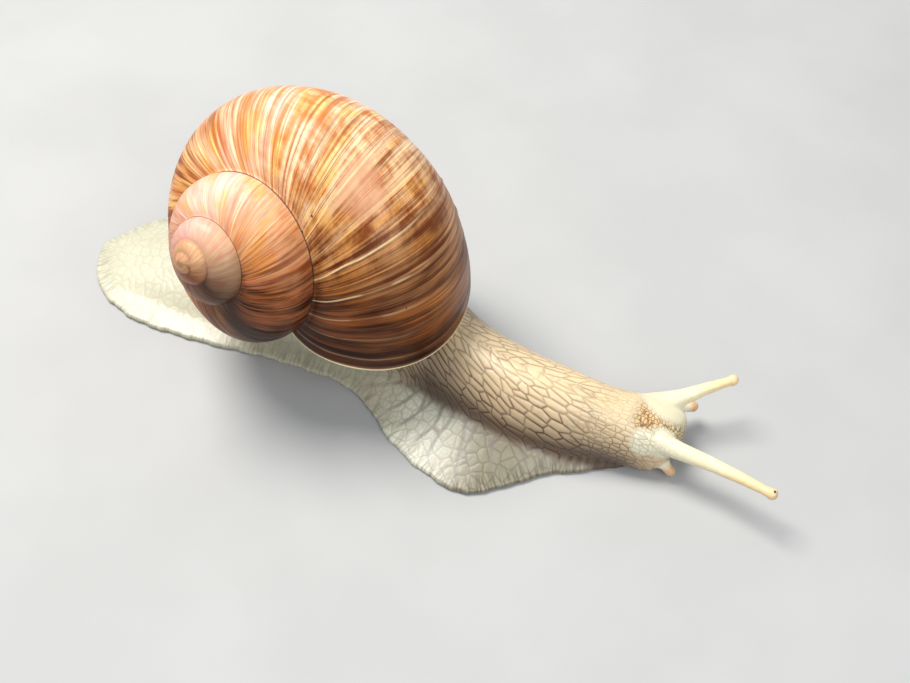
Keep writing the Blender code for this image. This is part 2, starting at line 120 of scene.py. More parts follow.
# ---- body: (distance from the tail's end, value) ----
FOOT_LEFT = [(-0.1, -1.6), (1.0, 0.6), (4.2, 5.6), (9, 9.2), (17, 11.2), (28, 12.0), (40, 12.0),
             (49, 11.4), (56, 9.9), (62, 8.3), (68, 7.4), (80, 6.2), (85, 4.6), (87.6, 2.0)]
FOOT_RIGHT = [(-0.1, 3.0), (1.2, 5.9), (4.3, 9.6), (8.7, 11.8), (14, 12.8), (23, 12.1), (35, 10.3),
              (44, 9.8), (49.2, 11.3), (55.4, 15.3), (61, 17.7), (66.8, 18.8), (71.7, 15.8),
              (75.6, 11.8), (81, 8.3), (86, 4.7), (87.6, 3.2)]
SHOULDER_Z = [(-0.1, 0.7), (5, 1.2), (12, 1.6), (25, 2.1), (40, 2.4), (62, 2.4), (76, 2.1), (90.5, 1.8)]
RIDGE_Z = [(-0.1, 0.85), (1.5, 1.5), (5, 2.5), (10, 3.6), (18, 5.1), (26, 6.6), (34, 8.4), (40, 12.0),
           (46, 15.0), (52, 14.5), (57, 11.6), (61, 11.2), (66, 11.0), (71, 10.6), (77, 9.7),
           (82, 8.7), (86, 7.8), (88.2, 7.0), (89.8, 5.8), (90.5, 4.5)]
RIDGE_Y = [(-0.1, -2.3), (4, -1.4), (12, -0.2), (24, 0.2), (40, 0.9), (50, 0.8), (56, -0.6), (60, -2.1),
           (65, -3.3), (70, -3.8), (76, -3.4), (81, -2.55), (86, -1.3), (90.5, -0.6)]
RIDGE_HALF = [(-0.1, 0.5), (1.5, 3.0), (4, 6.0), (9, 8.0), (18, 8.8), (28, 8.0), (40, 7.4), (52, 7.2),
              (58, 6.4), (64, 5.9), (70, 5.8), (76, 5.3), (81, 4.7), (85.5, 5.1), (88.2, 4.9),
              (89.8, 3.9), (90.5, 2.3)]
# how far the skirt's inner edge is drawn up on the right
FOLD_RISE = [(44, 0.0), (52, 0.4), (57, 1.9), (62, 1.9), (68, 1.5), (76, 0.8), (84, 0.2), (88, 0.0)]
EDGE_THICK = 0.9          # of the foot's rim
EDGE_ROUND = 0.35
CHIN_RISE = 1.6           # how far the underside of the head rises to its front
RIDGE_POWER = 2.3         # of the back's arch: 2 is an ellipse, more is fuller
TAIL_POWER = 1.35         # the tail's ridge slopes more gently
FOOT_END = 87.6
HEAD_END = 90.5
MOUTH_AT = (89.1, -0.5, 2.0)
MOUTH_SIZE = (1.2, 2.6, 1.2)

# ---- feelers: centre line as (x, y, z, radius) from the root inside the head ----
UPPER_RIGHT = [(84.6, -3.0, 4.9, 1.7), (87.2, -3.5, 5.3, 1.5), (90.5, -3.9, 5.6, 1.25),
               (95.0, -4.2, 5.8, 1.0), (99.2, -4.9, 6.2, 0.78), (101.9, -5.5, 6.5, 0.64)]
UPPER_LEFT = [(84.2, 0.6, 5.0, 2.0), (86.6, 2.1, 5.6, 1.7), (88.6, 3.8, 6.2, 1.2), (90.6, 5.6, 6.8, 0.85),
              (92.7, 7.4, 7.3, 0.66)]
LOWER_RIGHT = [(86.6, -3.4, 3.4, 0.85), (88.2, -3.95, 2.8, 0.85), (89.4, -4.25, 2.2, 0.74)]
LOWER_LEFT = [(86.8, 2.8, 3.5, 0.85), (88.2, 4.1, 3.3, 0.82), (89.0, 4.8, 3.1, 0.72)]
UPPER_KNOB = 0.8
LOWER_KNOB = 0.74
EYE_RADIUS = 0.16
EYE_OUT = 0.72            # how far the eye sits from the knob's centre, over its radius
EYE_PROUD = 0.08          # how much further out the looks set it, over the knob's radius
EYE_LIFT = {"right": 1.3, "left": -0.1}     # how far each sits towards the top, for each length forwards
FEELER_MORE = 0.25        # what a feeler's end gains over its solid, to make up for its softening
FAR_CONE = (86.9, 2.2, 6.0)   # the left feeler's broad smooth root
NEAR_ROOT = (86.4, -4.8, 5.8)
ROOT_SPREAD = (2.9, 1.3)  # reach of the soft joint at a feeler's root, over its knob's radius
FEELERS = [(UPPER_RIGHT, UPPER_KNOB), (UPPER_LEFT, UPPER_KNOB), (LOWER_RIGHT, LOWER_KNOB),
           (LOWER_LEFT, LOWER_KNOB)]

# ---- the skin's tubercles: (distance from the tail's end, length or width) ----
CELL_LENGTH = 2.4         # of a tubercle on the neck, along the body
CELL_WIDTH = 0.98
SMALL_CELL = (1.15, 0.62)  # length and width of those behind the head
# how far the grooves have run down the flank
GROOVE_FALL = [(40, -7.0), (57, 0.0), (66, 3.4), (76, 6.0), (86, 7.6)]
VEIN_MIDDLE = (63.0, -1.0)  # the skirt's veins spread out from here
VEIN_PITCH = 0.25         # angle between veins in radians
VEIN_LENGTH = 11.0
FOOT_CELL = 1.5           # of the foot's net
FINE_CELL = FOOT_CELL / 2.1    # of its finer net
HEAD_CELLS = 1.9          # grains of the face in a millimetre
SMALL_CELLS_X = (76.0, 80.0)    # where the small tubercles behind the head set in
LARGE_CELLS_X = (84.0, 78.0)    # and where the neck's large ones end
RING_SIDES = 28           # points round a feeler and round the lips
SKIN_VOXEL = 0.2          # size of the cells in which the flesh is made one skin
SKIN_FACES = 190000
GROOVE_DEPTH = {"Neck depth": 0.14, "Foot depth": 0.05, "Head depth": 0.12}

# ---- collar, camera and lamps ----
# the collar's section: (distance inside the lip, distance out of the mouth)
COLLAR_PROFILE = [(LIP_THICK + 0.55, 0.3 - MOUTH_DEPTH), (LIP_THICK + 0.3, -1.3), (LIP_THICK + 0.34, -0.75),
                  (LIP_THICK + 0.6, -0.4), (1.5, -0.22), (2.0, -0.3), (2.5, -0.62), (3.1, -0.8),
                  (4.2, -0.66)]
# in metres, in the snail's own frame
CAMERA_AT = (0.05944, -0.0940, 0.130)
CAMERA_AIM = (-0.2814, 0.5779, -0.7660)
CAMERA_LENS = 47.47
LAMP_AIM = (0, 0, 0.01)
# name, place, size, power and colour
LAMPS = [("key", (-0.20, 0.04, 0.44), 0.26, 3.4, (1.0, 0.97, 0.93)),
         ("fill", (0.30, -0.22, 0.36), 0.35, 1.2, (0.94, 0.97, 1.0))]

# the solids that the one skin replaces
FLESH = ["tail", "foot_middle", "foot_front", "back", "neck_rear", "neck_front", "head", "mouth",
         "upper_tentacle_left", "upper_tentacle_right", "lower_tentacle_left", "lower_tentacle_right"]


# ------------------------------------------------------------------ small tools
def along(stations, x):
    """Values at x of a smooth line through stations, with no overshoot between them."""
    place, value = np.array(stations, dtype=float).T
    step = np.diff(place)
    rise = np.diff(value) / step
    slope = np.concatenate([rise[:1], np.zeros(len(rise) - 1), rise[-1:]])
    same = rise[:-1] * rise[1:] > 0
    both = np.where(same, rise[:-1] + rise[1:], 1.0)
    slope[1:-1] = np.where(same, 2 * rise[:-1] * rise[1:] / both, 0.0)
    x = np.clip(x, place[0], place[-1])
    k = np.clip(np.searchsorted(place, x) - 1, 0, len(step) - 1)
    t = (x - place[k]) / step[k]
    return ((2 * t**3 - 3 * t**2 + 1) * value[k] + (t**3 - 2 * t**2 + t) * step[k] * slope[k]
            + (3 * t**2 - 2 * t**3) * value[k + 1] + (t**3 - t**2) * step[k] * slope[k + 1])


def ease(low, high, x):
    """0 below low, 1 above high and smooth between them; low may be the larger."""
    t = np.clip((x - low) / (high - low), 0, 1)
    return t * t * (3 - 2 * t)


def paint(red, green, blue):
    """A colour from 0-255 display values, as the linear values that nodes take."""
    linear = [((c / 255 + 0.055) / 1.055) ** 2.4 if c > 10 else c / 255 / 12.92 for c in (red, green, blue)]
    return (*linear, 1.0)


class Field:
    """A value that runs through a node tree; a formula with it adds the nodes that work it out."""

    def __init__(self, socket):
        self.socket = socket

    def __add__(self, other):
        return calc("ADD", self, other)

    def __sub__(self, other):
        return calc("SUBTRACT", self, other)

    def __rsub__(self, other):
        return calc("SUBTRACT", other, self)

    def __mul__(self, other):
        return calc("MULTIPLY", self, other)

    def __truediv__(self, other):
        return calc("DIVIDE", self, other)

    def __neg__(self):
        return calc("MULTIPLY", self, -1.0)

    def __abs__(self):
        return calc("ABSOLUTE", self)


def fill(socket, value):
    """Link an input to a field, or give it a plain value."""
    if isinstance(value, Field):
        socket.id_data.links.new(value.socket, socket)
    else:
        socket.default_value = value


def put(tree, kind, inputs=None, **settings):
    """Add a node, set its options and fill its inputs."""
    node = tree.nodes.new(kind)
    for name, value in settings.items():
        setattr(node, name, value)
    for key, value in (inputs or {}).items():
        fill(node.inputs[key], value)
    return node


def made_by(kind, inputs, output=0, **settings):
    """The output of a new node, in the tree that its inputs come from."""
    tree = next(value.socket.id_data for value in inputs.values() if isinstance(value, Field))
    return Field(put(tree, kind, inputs, **settings).outputs[output])


def calc(operation, *values):
    """The result of a Math node."""
    return made_by("ShaderNodeMath", dict(enumerate(values)), operation=operation)


def highest(*values):
    """The greatest of some numbers."""
    return reduce(lambda a, b: calc("MAXIMUM", a, b), values)


def vector(operation, *values):
    """The result of a Vector Math node: a vector, or a number where the operation gives one."""
    output = "Value" if operation in ("LENGTH", "DOT_PRODUCT") else "Vector"
    return made_by("ShaderNodeVectorMath", dict(enumerate(values)), output, operation=operation)


def scaled(value, factor):
    """A vector times a number."""
    return made_by("ShaderNodeVectorMath", {0: value, "Scale": factor}, "Vector", operation="SCALE")


def span(value, low, high, start=0.0, end=1.0, interpolation="SMOOTHSTEP"):
    """Value from low..high brought to start..end, and held beyond them."""
    inputs = {0: value, 1: low, 2: high, 3: start, 4: end}
    return made_by("ShaderNodeMapRange", inputs, interpolation_type=interpolation)


def mix(factor, a, b, blend="MIX"):
    """Colour a turned into colour b by a factor."""
    return made_by("ShaderNodeMix", {0: factor, 6: a, 7: b}, 2, data_type="RGBA", blend_type=blend)


def ramp(value, stops):
    """A colour ramp from (place, colour) stops."""
    node = put(value.socket.id_data, "ShaderNodeValToRGB", {0: value})
    for place, _ in stops[2:]:
        node.color_ramp.elements.new(place)
    for element, (place, colour) in zip(node.color_ramp.elements, stops):
        element.position = place
        element.color = colour
    return Field(node.outputs[0])


def noise(place, scale, detail=2.0, roughness=0.5):
    """Cloudy noise from 0 to 1."""
    inputs = {"Vector": place, "Scale": scale, "Detail": detail, "Roughness": roughness}
    return made_by("ShaderNodeTexNoise", inputs)


def cell_edge(place, scale):
    """Distance to the nearest edge of an irregular net of cells."""
    inputs = {"Vector": place, "Scale": scale, "Randomness": 0.9}
    return made_by("ShaderNodeTexVoronoi", inputs, feature="DISTANCE_TO_EDGE")


def dots(place, scale, outer, inner, bare):
    """Round dots in a net's cells, fading from inner to outer; bare is the share of cells without."""
    cells = put(place.socket.id_data, "ShaderNodeTexVoronoi", {"Vector": place, "Scale": scale}, feature="F1")
    away, spot = Field(cells.outputs["Distance"]), Field(cells.outputs["Position"])
    chance = made_by("ShaderNodeTexWhiteNoise", {"Vector": spot}, "Value")
    return span(away, outer, inner) * calc("GREATER_THAN", chance, bare)


def stored(tree, name):
    """A vector kept on the mesh, in a shader or a Geometry Nodes tree alike."""
    if tree.bl_idname == "ShaderNodeTree":
        return Field(put(tree, "ShaderNodeAttribute", attribute_name=name).outputs["Vector"])
    node = put(tree, "GeometryNodeInputNamedAttribute", {"Name": name}, data_type="FLOAT_VECTOR")
    return Field(node.outputs[0])


def parts_of(value):
    """The X, Y and Z numbers of a vector."""
    return [Field(part) for part in put(value.socket.id_data, "ShaderNodeSeparateXYZ", {0: value}).outputs]


def vector_of(x, y, z=0.0):
    """A vector from its X, Y and Z numbers."""
    return made_by("ShaderNodeCombineXYZ", {0: x, 1: y, 2: z})


def material(name):
    """A new node material and the place on the object, in metres, that its patterns follow."""
    made = bpy.data.materials.new(name)
    made.use_nodes = True
    return made, Field(put(made.node_tree, "ShaderNodeTexCoord").outputs["Object"])


def finish(made, **sockets):
    """Fill the material's Principled sockets, named with _ for spaces, with values or fields."""
    shader = made.node_tree.nodes["Principled BSDF"]
    for name, value in sockets.items():
        fill(shader.inputs[name.replace("_", " ")], value)
    return made


def relief(height, distance, strength):
    """A bumped normal, for what is finer than the mesh."""
    return made_by("ShaderNodeBump", {"Strength": strength, "Distance": distance, "Height": height})


def new_tree(name, inputs):
    """A Geometry Nodes tree with an input for each named value, and those inputs as fields."""
    kinds = {float: "NodeSocketFloat", tuple: "NodeSocketVector", bpy.types.Material: "NodeSocketMaterial"}
    tree = bpy.data.node_groups.new(name, "GeometryNodeTree")
    tree.interface.new_socket("Geometry", in_out="INPUT", socket_type="NodeSocketGeometry")
    for label, value in inputs.items():
        tree.interface.new_socket(label, in_out="INPUT", socket_type=kinds[type(value)])
    tree.interface.new_socket("Geometry", in_out="OUTPUT", socket_type="NodeSocketGeometry")
    return tree, {socket.name: Field(socket) for socket in tree.nodes.new("NodeGroupInput").outputs}


def run_tree(made, tree, inputs):
    """Put a Geometry Nodes tree on an object, with its inputs set by their identifiers."""
    modifier = made.modifiers.new(tree.name, "NODES")
    modifier.node_group = tree
    slots = {item.name: item.identifier for item in tree.interface.items_tree if item.in_out == "INPUT"}
    for label, value in inputs.items():
        modifier[slots[label]] = value


def lifted(geometry, height):
    """A surface moved along its normals, with its instances made real."""
    normal = Field(geometry.socket.id_data.nodes.new("GeometryNodeInputNormal").outputs[0])
    moved = made_by("GeometryNodeSetPosition", {"Geometry": geometry, "Offset": scaled(normal, height)})
    return made_by("GeometryNodeRealizeInstances", {"Geometry": moved})


def painted(geometry, look, **where):
    """A surface with a material, all over or on a selection."""
    return made_by("GeometryNodeSetMaterial", {"Geometry": geometry, "Material": look, **where})


def piece_from(name, mesh, look=None):
    """An object in the scene from a mesh, with a material if one is given."""
    made = bpy.data.objects.new(name, mesh)
    bpy.context.scene.collection.objects.link(made)
    if look:
        mesh.materials.append(look)
    return made


def mesh_from(name, points, faces):
    """A mesh from points in millimetres, in whatever frame they are in."""
    mesh = bpy.data.meshes.new(name)
    mesh.from_pydata([tuple(p) for p in points], [], [tuple(f) for f in faces])
    return mesh


def flatten(made):
    """Turn an object with live modifiers into a plain mesh object."""
    bpy.context.view_layer.update()
    seen = made.evaluated_get(bpy.context.evaluated_depsgraph_get())
    mesh = bpy.data.meshes.new_from_object(seen)
    made.modifiers.clear()
    old = made.data
    made.data = mesh
    bpy.data.meshes.remove(old)
    return made


def keep_vectors(mesh, name, values, domain="POINT"):
    """Keep a named vector on each point or corner of a mesh."""
    layer = mesh.attributes.new(name, "FLOAT_VECTOR", domain)
    layer.data.foreach_set("vector", np.ascontiguousarray(values, dtype=np.float32).ravel())


def vertices_of(mesh):
    """The places of a mesh's vertices, one row each."""
    co = np.zeros(len(mesh.vertices) * 3, np.float32)
    mesh.vertices.foreach_get("co", co)
    return co.reshape(-1, 3).astype(float)


def smooth_all(mesh):
    """Shade all faces of a mesh as one smooth surface."""
    mesh.polygons.foreach_set("use_smooth", np.ones(len(mesh.polygons), bool))


def face_outwards(mesh):
    """Turn all faces of a closed mesh outwards."""
    shape = bmesh.new()
    shape.from_mesh(mesh)
    bmesh.ops.recalc_face_normals(shape, faces=shape.faces)
    shape.to_mesh(mesh)
    shape.free()


# ------------------------------------------------------------------ the shell's rule, in numbers
def tube_size(turn):
    """Size of the tube at a turn, over its size at the lip."""
    return math.exp(GROWTH_RATE * turn)


def tube_point(turn, phi, grow=0.0):
    """Distance from the axis and height of the tube's wall; phi is 0 at its outer side."""
    size = tube_size(turn)
    c, s = math.cos(phi), math.sin(phi)
    across = TUBE_HALF * math.copysign(abs(c) ** TUBE_SQUARENESS, c)
    up = TUBE_TALL * math.copysign(abs(s) ** TUBE_SQUARENESS, s) * (TUBE_CROWN if s > 0 else 1.0)
    across *= 1 + grow / (TUBE_HALF * size)
    up *= 1 + grow / (TUBE_TALL * size)
    out = TUBE_OUT + across * math.cos(TUBE_TILT) - up * math.sin(TUBE_TILT)
    rise = across * math.sin(TUBE_TILT) + up * math.cos(TUBE_TILT)
    return out * size, rise * size - SPIRE_DROP * SHELL_RADIUS * size ** SPIRE_DOME


def wall_angle(turn, out, height):
    """The phi at which the tube at this turn passes the given point, and how far outside it is."""
    size = tube_size(turn)
    u = out / size - TUBE_OUT
    v = (height + SPIRE_DROP * SHELL_RADIUS * size ** SPIRE_DOME) / size
    across = (u * math.cos(TUBE_TILT) + v * math.sin(TUBE_TILT)) / TUBE_HALF
    up = (v * math.cos(TUBE_TILT) - u * math.sin(TUBE_TILT)) / TUBE_TALL
    up /= TUBE_CROWN if up > 0 else 1.0
    c = math.copysign(abs(across) ** (1 / TUBE_SQUARENESS), across)
    s = math.copysign(abs(up) ** (1 / TUBE_SQUARENESS), up)
    return math.atan2(s, c), c * c + s * s - 1


def suture(turn, alone=False):
    """The phi where a whorl leaves the whorl before it, or the axis in the first turn or alone."""
    first = alone or turn < -2 * math.pi * (TURNS - 1) - 0.001

    def free(phi):
        out, height = tube_point(turn, phi)
        return out > 0 and (first or wall_angle(turn - 2 * math.pi, out, height)[1] > 0)

    phi, step = 0.2, 0.04
    while phi < math.pi * 1.4 and free(phi + step):
        phi += step
    for _ in range(14):
        step /= 2
        phi += step if free(phi + step) else 0.0
    return phi


def navel(turn):
    """The phi where the base of a whorl meets the navel."""
    phi = -1.2
    while tube_point(turn, phi)[0] > NAVEL_RADIUS * (0.4 + 0.6 * tube_size(turn)):
        phi -= 0.01
    return phi


def lip_lag(phi, top):
    """Angle by which the lip trails the suture, so that the mouth lies in one plane."""
    out_top, high_top = tube_point(0, top)
    lag = 0.0
    for _ in range(30):
        out, height = tube_point(lag, max(phi, -1.2))
        off = (out * math.sin(lag) * -LIP_LEAN[1] + LIP_LEAN[2] * (height - high_top)
               + LIP_LEAN[0] * (out * math.cos(lag) - out_top))
        lag = min(0.2, max(-1.6, lag - 0.6 * off / out))
    return lag


def lip_flare(share_of_turn, phi):
    """How far the wall turns outwards near the lip."""
    near = max(0.0, 1 - (1 - share_of_turn) / FLARE_SHARE)
    side = min(1.0, max(0.0, (1.2 - phi) / 1.5))
    return LIP_FLARE * near * near * side * side * (3 - 2 * side)


def wall_inset(turn, phi, depth, middle):
    """How much nearer the mouth's middle the wall is at this depth behind the lip than at the lip."""
    start = coil_point(turn, phi, lip_flare(1.0, phi))
    spoke = (middle - start) / np.linalg.norm(middle - start)
    for back in np.linspace(0.0, 0.35, 141):
        here = coil_point(turn - back, phi, lip_flare(1 - back / (2 * math.pi), phi))
        if (start - here) @ FACING >= -depth:
            break
    return max(0.0, float((here - start) @ spoke))


class Coil:
    """The flat pattern of the shell: where each point lies on the coil, before it is wound."""

    def __init__(self):
        self.total = round(TURNS * STEPS_PER_TURN)
        self.last = self.total - STEPS_PER_TURN
        self.step = 2 * math.pi / STEPS_PER_TURN
        top = suture(0)
        self.lag_phi = np.linspace(-2.6, 3.2, 240)
        self.lag_value = np.array([lip_lag(phi, top) for phi in self.lag_phi])
        self.sutures = {}
        self.points, self.pinch, self.rim = [], [], []
        self.faces, self.corners, self.inside = [], [], []
        self.wind()

    def lag(self, phi):
        """Angle by which the lip trails the suture at this phi."""
        return float(np.interp(phi, self.lag_phi, self.lag_value))

    def suture_at(self, k):
        """Suture of column k; in the first turn the columns run up to the axis."""
        if k not in self.sutures:
            self.sutures[k] = suture((k - self.total) * self.step)
        return self.sutures[k]

    def bud(self, k):
        """How much of its full size the tube has at column k, as it grows from the coil's first bud."""
        return float(ease(0, NUCLEUS_TURNS, k / STEPS_PER_TURN))

    def spans(self, k):
        """The phi of each row of column k: the wall down to the next suture, then the base to the navel."""
        turn = (k - self.total) * self.step
        top = self.suture_at(k)
        hidden = self.bud(k - STEPS_PER_TURN)
        if k >= STEPS_PER_TURN and hidden < 1:
            top = suture(turn, alone=True) * (1 - hidden) + top * hidden
        if k <= self.last:
            foot = wall_angle(turn, *tube_point(turn + 2 * math.pi, self.suture_at(k + STEPS_PER_TURN)))[0]
            wall = list(np.linspace(top, foot, WALL_ROWS + 1))
            if k < self.last:
                return wall
            self.split = (top - foot) / (top - navel(turn))
        bottom = navel(turn)
        even = WALL_ROWS / (WALL_ROWS + BASE_ROWS)
        settled = float(ease(0, 0.3, (k - self.last) / STEPS_PER_TURN))
        foot = top + (bottom - top) * (self.split + (even - self.split) * settled)
        return [*np.linspace(top, foot, WALL_ROWS + 1), *np.linspace(foot, bottom, BASE_ROWS + 1)[1:]]

    def add(self, turn, phi, grow=0.0, out=1.0, up=1.0, centre=0.0, inset=0.0, depth=0.0):
        """Add a point with what the winding needs to know of it, and return its number."""
        self.points.append((turn, phi, grow))
        self.pinch.append((out, up, centre))
        self.rim.append((inset, depth, 0.0))
        return len(self.points) - 1

    def face(self, loop, facts, inside=False):
        """Add a face with what the colours need to know at each of its corners."""
        self.faces.append(loop)
        self.corners.extend(facts)
        self.inside.append(inside)

    def wind(self):
        """Lay out the columns from the bud to the lip, then close the navel and the mouth."""
        index, facts = [], []
        for k in range(self.total + 1):
            row, fact = self.column(k, index)
            index.append(row)
            facts.append(fact)
        for k in range(self.total):
            for i in range(WALL_ROWS if k < self.last else WALL_ROWS + BASE_ROWS):
                self.face((index[k][i], index[k + 1][i], index[k + 1][i + 1], index[k][i + 1]),
                          (facts[k][i], facts[k + 1][i], facts[k + 1][i + 1], facts[k][i + 1]))
        self.close_mouth(index, facts, self.close_navel(index, facts))

    def column(self, k, index):
        """The points of column k, which starts on the wall one turn before, and what is told of them."""
        turn = (k - self.total) * self.step
        share = (k - self.last) / STEPS_PER_TURN
        follow = float(ease(0, 1, share))
        row, fact = [], []
        for i, phi in enumerate(self.spans(k)):
            lag = self.lag(phi)
            turned = turn + follow * lag
            fact.append((turned - lag, i / WALL_ROWS, turned))
            if k >= STEPS_PER_TURN and i == 0:
                row.append(index[k - STEPS_PER_TURN][WALL_ROWS])
            else:
                pinch = self.bud(k) if i else self.bud(k) * (k >= STEPS_PER_TURN)
                row.append(self.add(turned, phi, lip_flare(share, phi), pinch, pinch))
        return row, fact

    def close_navel(self, index, facts):
        """Close the navel with a hub on the axis."""
        ring = [index[k][-1] for k in range(self.last, self.total + 1)]
        told = [facts[k][-1] for k in range(self.last, self.total + 1)]
        turn, phi, _ = self.points[ring[len(ring) // 2]]
        hub = self.add(turn, phi, out=0.0)
        for k in range(len(ring) - 1):
            self.face((ring[k], ring[k + 1], hub), (told[k], told[k + 1], told[k]))
        return hub

    def close_mouth(self, index, facts, hub):
        """Close the mouth with a rolled lip and a shallow pocket, and keep its outline for the collar."""
        lip, inner = index[-1], index[self.last][WALL_ROWS:]
        palate = inner[1:round(PALATE_SHARE * len(inner))][::-1]
        self.outline = [self.points[i] for i in lip[1:-1] + palate]
        self.lip_count = len(lip) - 2
        self.loop = [coil_point(*point) for point in self.outline]
        self.middle = np.mean(self.loop, axis=0)
        rim = lip + [hub] + inner[::-1][:-1]
        on_lip = dict(zip(lip, facts[-1]))
        told = [on_lip.get(i, facts[-1][-1]) for i in rim]
        rings = [rim] + [self.mouth_ring(rim, on_lip, inset, depth) for inset, depth in MOUTH_RINGS]
        pairs = list(enumerate([*range(1, len(rim)), 0]))
        for r in range(len(MOUTH_RINGS)):
            for k, j in pairs:
                self.face((rings[r][k], rings[r][j], rings[r + 1][j], rings[r + 1][k]),
                          (told[k], told[j], told[j], told[k]), inside=r > 0)
        heart = self.add(0.0, 0.0, centre=1.0, depth=-MOUTH_DEPTH)
        for k, j in pairs:
            self.face((rings[-1][k], rings[-1][j], heart), (told[k], told[j], told[k]), inside=True)

    def mouth_ring(self, rim, on_lip, inset, depth):
        """A ring of the mouth's lining, which keeps inside the wall as that curls in behind the lip."""
        ring = []
        for i in rim:
            turn, phi, grow = self.points[i]
            out, up, _ = self.pinch[i]
            more = wall_inset(turn, phi, depth, self.middle) if depth < 0 and i in on_lip else 0.0
            ring.append(self.add(turn, phi, grow, out, up, inset=inset + more, depth=depth))
        return ring


def coil_point(turn, phi, grow):
    """Where a point of the pattern lies once wound, for the mouth's lining and the collar."""
    out, height = tube_point(turn, phi, grow)
    return np.array((out * math.cos(turn), -out * math.sin(turn), height))


def tube_reach(given, wave, phi, reach, grow, size):
    """How far the tube's oval reaches along one of its axes, grown outwards by the lip's flare."""
    value = calc(wave, phi)
    full = calc("SIGN", value) * calc("POWER", abs(value), given["Squareness"]) * reach
    return full * (grow / (reach * size)) + full


def coil_place(given, flat, size, pinch):
    """Where a point of the flat pattern lies on the coil: the rule of tube_point, in nodes."""
    turn, phi, grow = flat
    out_share, up_share, _ = pinch
    centre = given["Tube centre"] * given["Radius"]
    wide = given["Radius"] - centre
    across = tube_reach(given, "COSINE", phi, wide, grow, size)
    up = tube_reach(given, "SINE", phi, wide * given["Tube aspect"], grow, size)
    up = up * (calc("GREATER_THAN", calc("SINE", phi), 0.0) * (given["Crown"] - 1.0) + 1.0)
    lean, lie = calc("SINE", given["Tube tilt"]), calc("COSINE", given["Tube tilt"])
    out = calc("MAXIMUM", across * lie + centre - up * lean, 0.0) * size * out_share
    drop = given["Spire drop"] * given["Radius"] * calc("POWER", size, given["Spire dome"])
    height = (across * lean + up * lie) * size - drop
    height = (height - given["Pole"]) * up_share + given["Pole"]
    bud = out * out * given["Bud fall"] + span(size, 0.12, 0.2, 0.0, 100.0)    # none on the later turns
    height = calc("SMOOTH_MAX", height, given["Bud top"] - bud, 0.1)
    return vector_of(out * calc("COSINE", turn), -(out * calc("SINE", turn)), height)


def mouth_place(given, place, rim, centred):
    """Pull the mouth's inner rings towards its middle and push them in along the way it faces."""
    inset, depth, _ = rim
    inwards = vector("SUBTRACT", given["Mouth middle"], place)
    pull = scaled(vector("NORMALIZE", inwards), inset * (1.0 - centred))
    push = scaled(tuple(FACING), depth)
    return vector("ADD", vector("ADD", place, scaled(inwards, centred)), vector("ADD", pull, push))


def shell_lift(given, size, inset):
    """Height of the growth lines, of the ridges where growth rested and of broad shallow dents."""
    tree = size.socket.id_data
    growth, down, _ = parts_of(stored(tree, "lines"))
    lines, rests = growth_relief(growth, down)
    dents = noise(Field(tree.nodes.new("GeometryNodeInputPosition").outputs[0]), 0.11, 1.0)
    lift = (lines - 0.5) * given["Line height"] + rests * given["Rib height"]
    lift = lift + (dents - 0.5) * given["Dent depth"]
    # size is read once more from the wound shape, so the relief fades on the side away from the lip
    return lift * span(size, 0.1, 0.4) * calc("LESS_THAN", inset, 0.01) * span(down, 0.0, 0.12)


def shell_tree(inputs):
    """Geometry Nodes that wind the flat pattern into the coil and raise its growth lines."""
    tree, given = new_tree("wind_the_shell", inputs)
    flat = parts_of(Field(tree.nodes.new("GeometryNodeInputPosition").outputs[0]))
    pinch = parts_of(stored(tree, "pinch"))
    rim = parts_of(stored(tree, "rim"))
    size = calc("EXPONENT", given["Growth rate"] * flat[0])
    place = mouth_place(given, coil_place(given, flat, size, pinch), rim, pinch[2])
    wound = made_by("GeometryNodeSetPosition", {"Geometry": given["Geometry"], "Position": place})
    raised = lifted(wound, shell_lift(given, size, rim[0]))
    inside = put(tree, "GeometryNodeInputNamedAttribute", {"Name": "inside"}, data_type="BOOLEAN")
    outer = painted(raised, given["Outer finish"])
    inner = painted(outer, given["Inner finish"], Selection=Field(inside.outputs[0]))
    put(tree, "NodeGroupOutput", {"Geometry": inner})
    return tree


def grain(growth, down, across, lengthwise, seed, detail=2.0, roughness=0.55):
    """Noise drawn out along the growth lines, changing so often in a radian and in a whorl's width."""
    return noise(vector_of(growth * across, down * lengthwise, seed), 1.0, detail, roughness)


def growth_relief(growth, down):
    """Fine growth lines and the ridges of the growth rests, the same for the relief and the colour."""
    lines = grain(growth, down, 16.0, 0.9, 0.0, 3.0)
    bent = (grain(growth, down, 0.8, 2.2, 20.0, 1.0) - 0.5) * 0.07 + growth
    rests = highest(*(span(abs(bent - at), 0.011, 0.003, 0.0, strength) for at, strength in GROWTH_RESTS))
    broken = grain(growth, down, 2.5, 3.4, 7.0)
    return lines, rests * span(broken, 0.36, 0.5, 0.3, 1.0)


# ------------------------------------------------------------------ the shell's finish
def shell_patches(growth, down):
    """Blotches on the flank of the last whorl and bands elsewhere."""
    blotches = grain(growth, down, 4.6, 5.0, 11.0, 4.0, 0.62)
    bands = grain(growth, down, 6.0, 1.3, 31.0, 3.0, 0.6)
    flank = span(growth, -2.6, -1.7) * span(growth, -0.55, -1.05)
    return (blotches - bands) * flank + bands


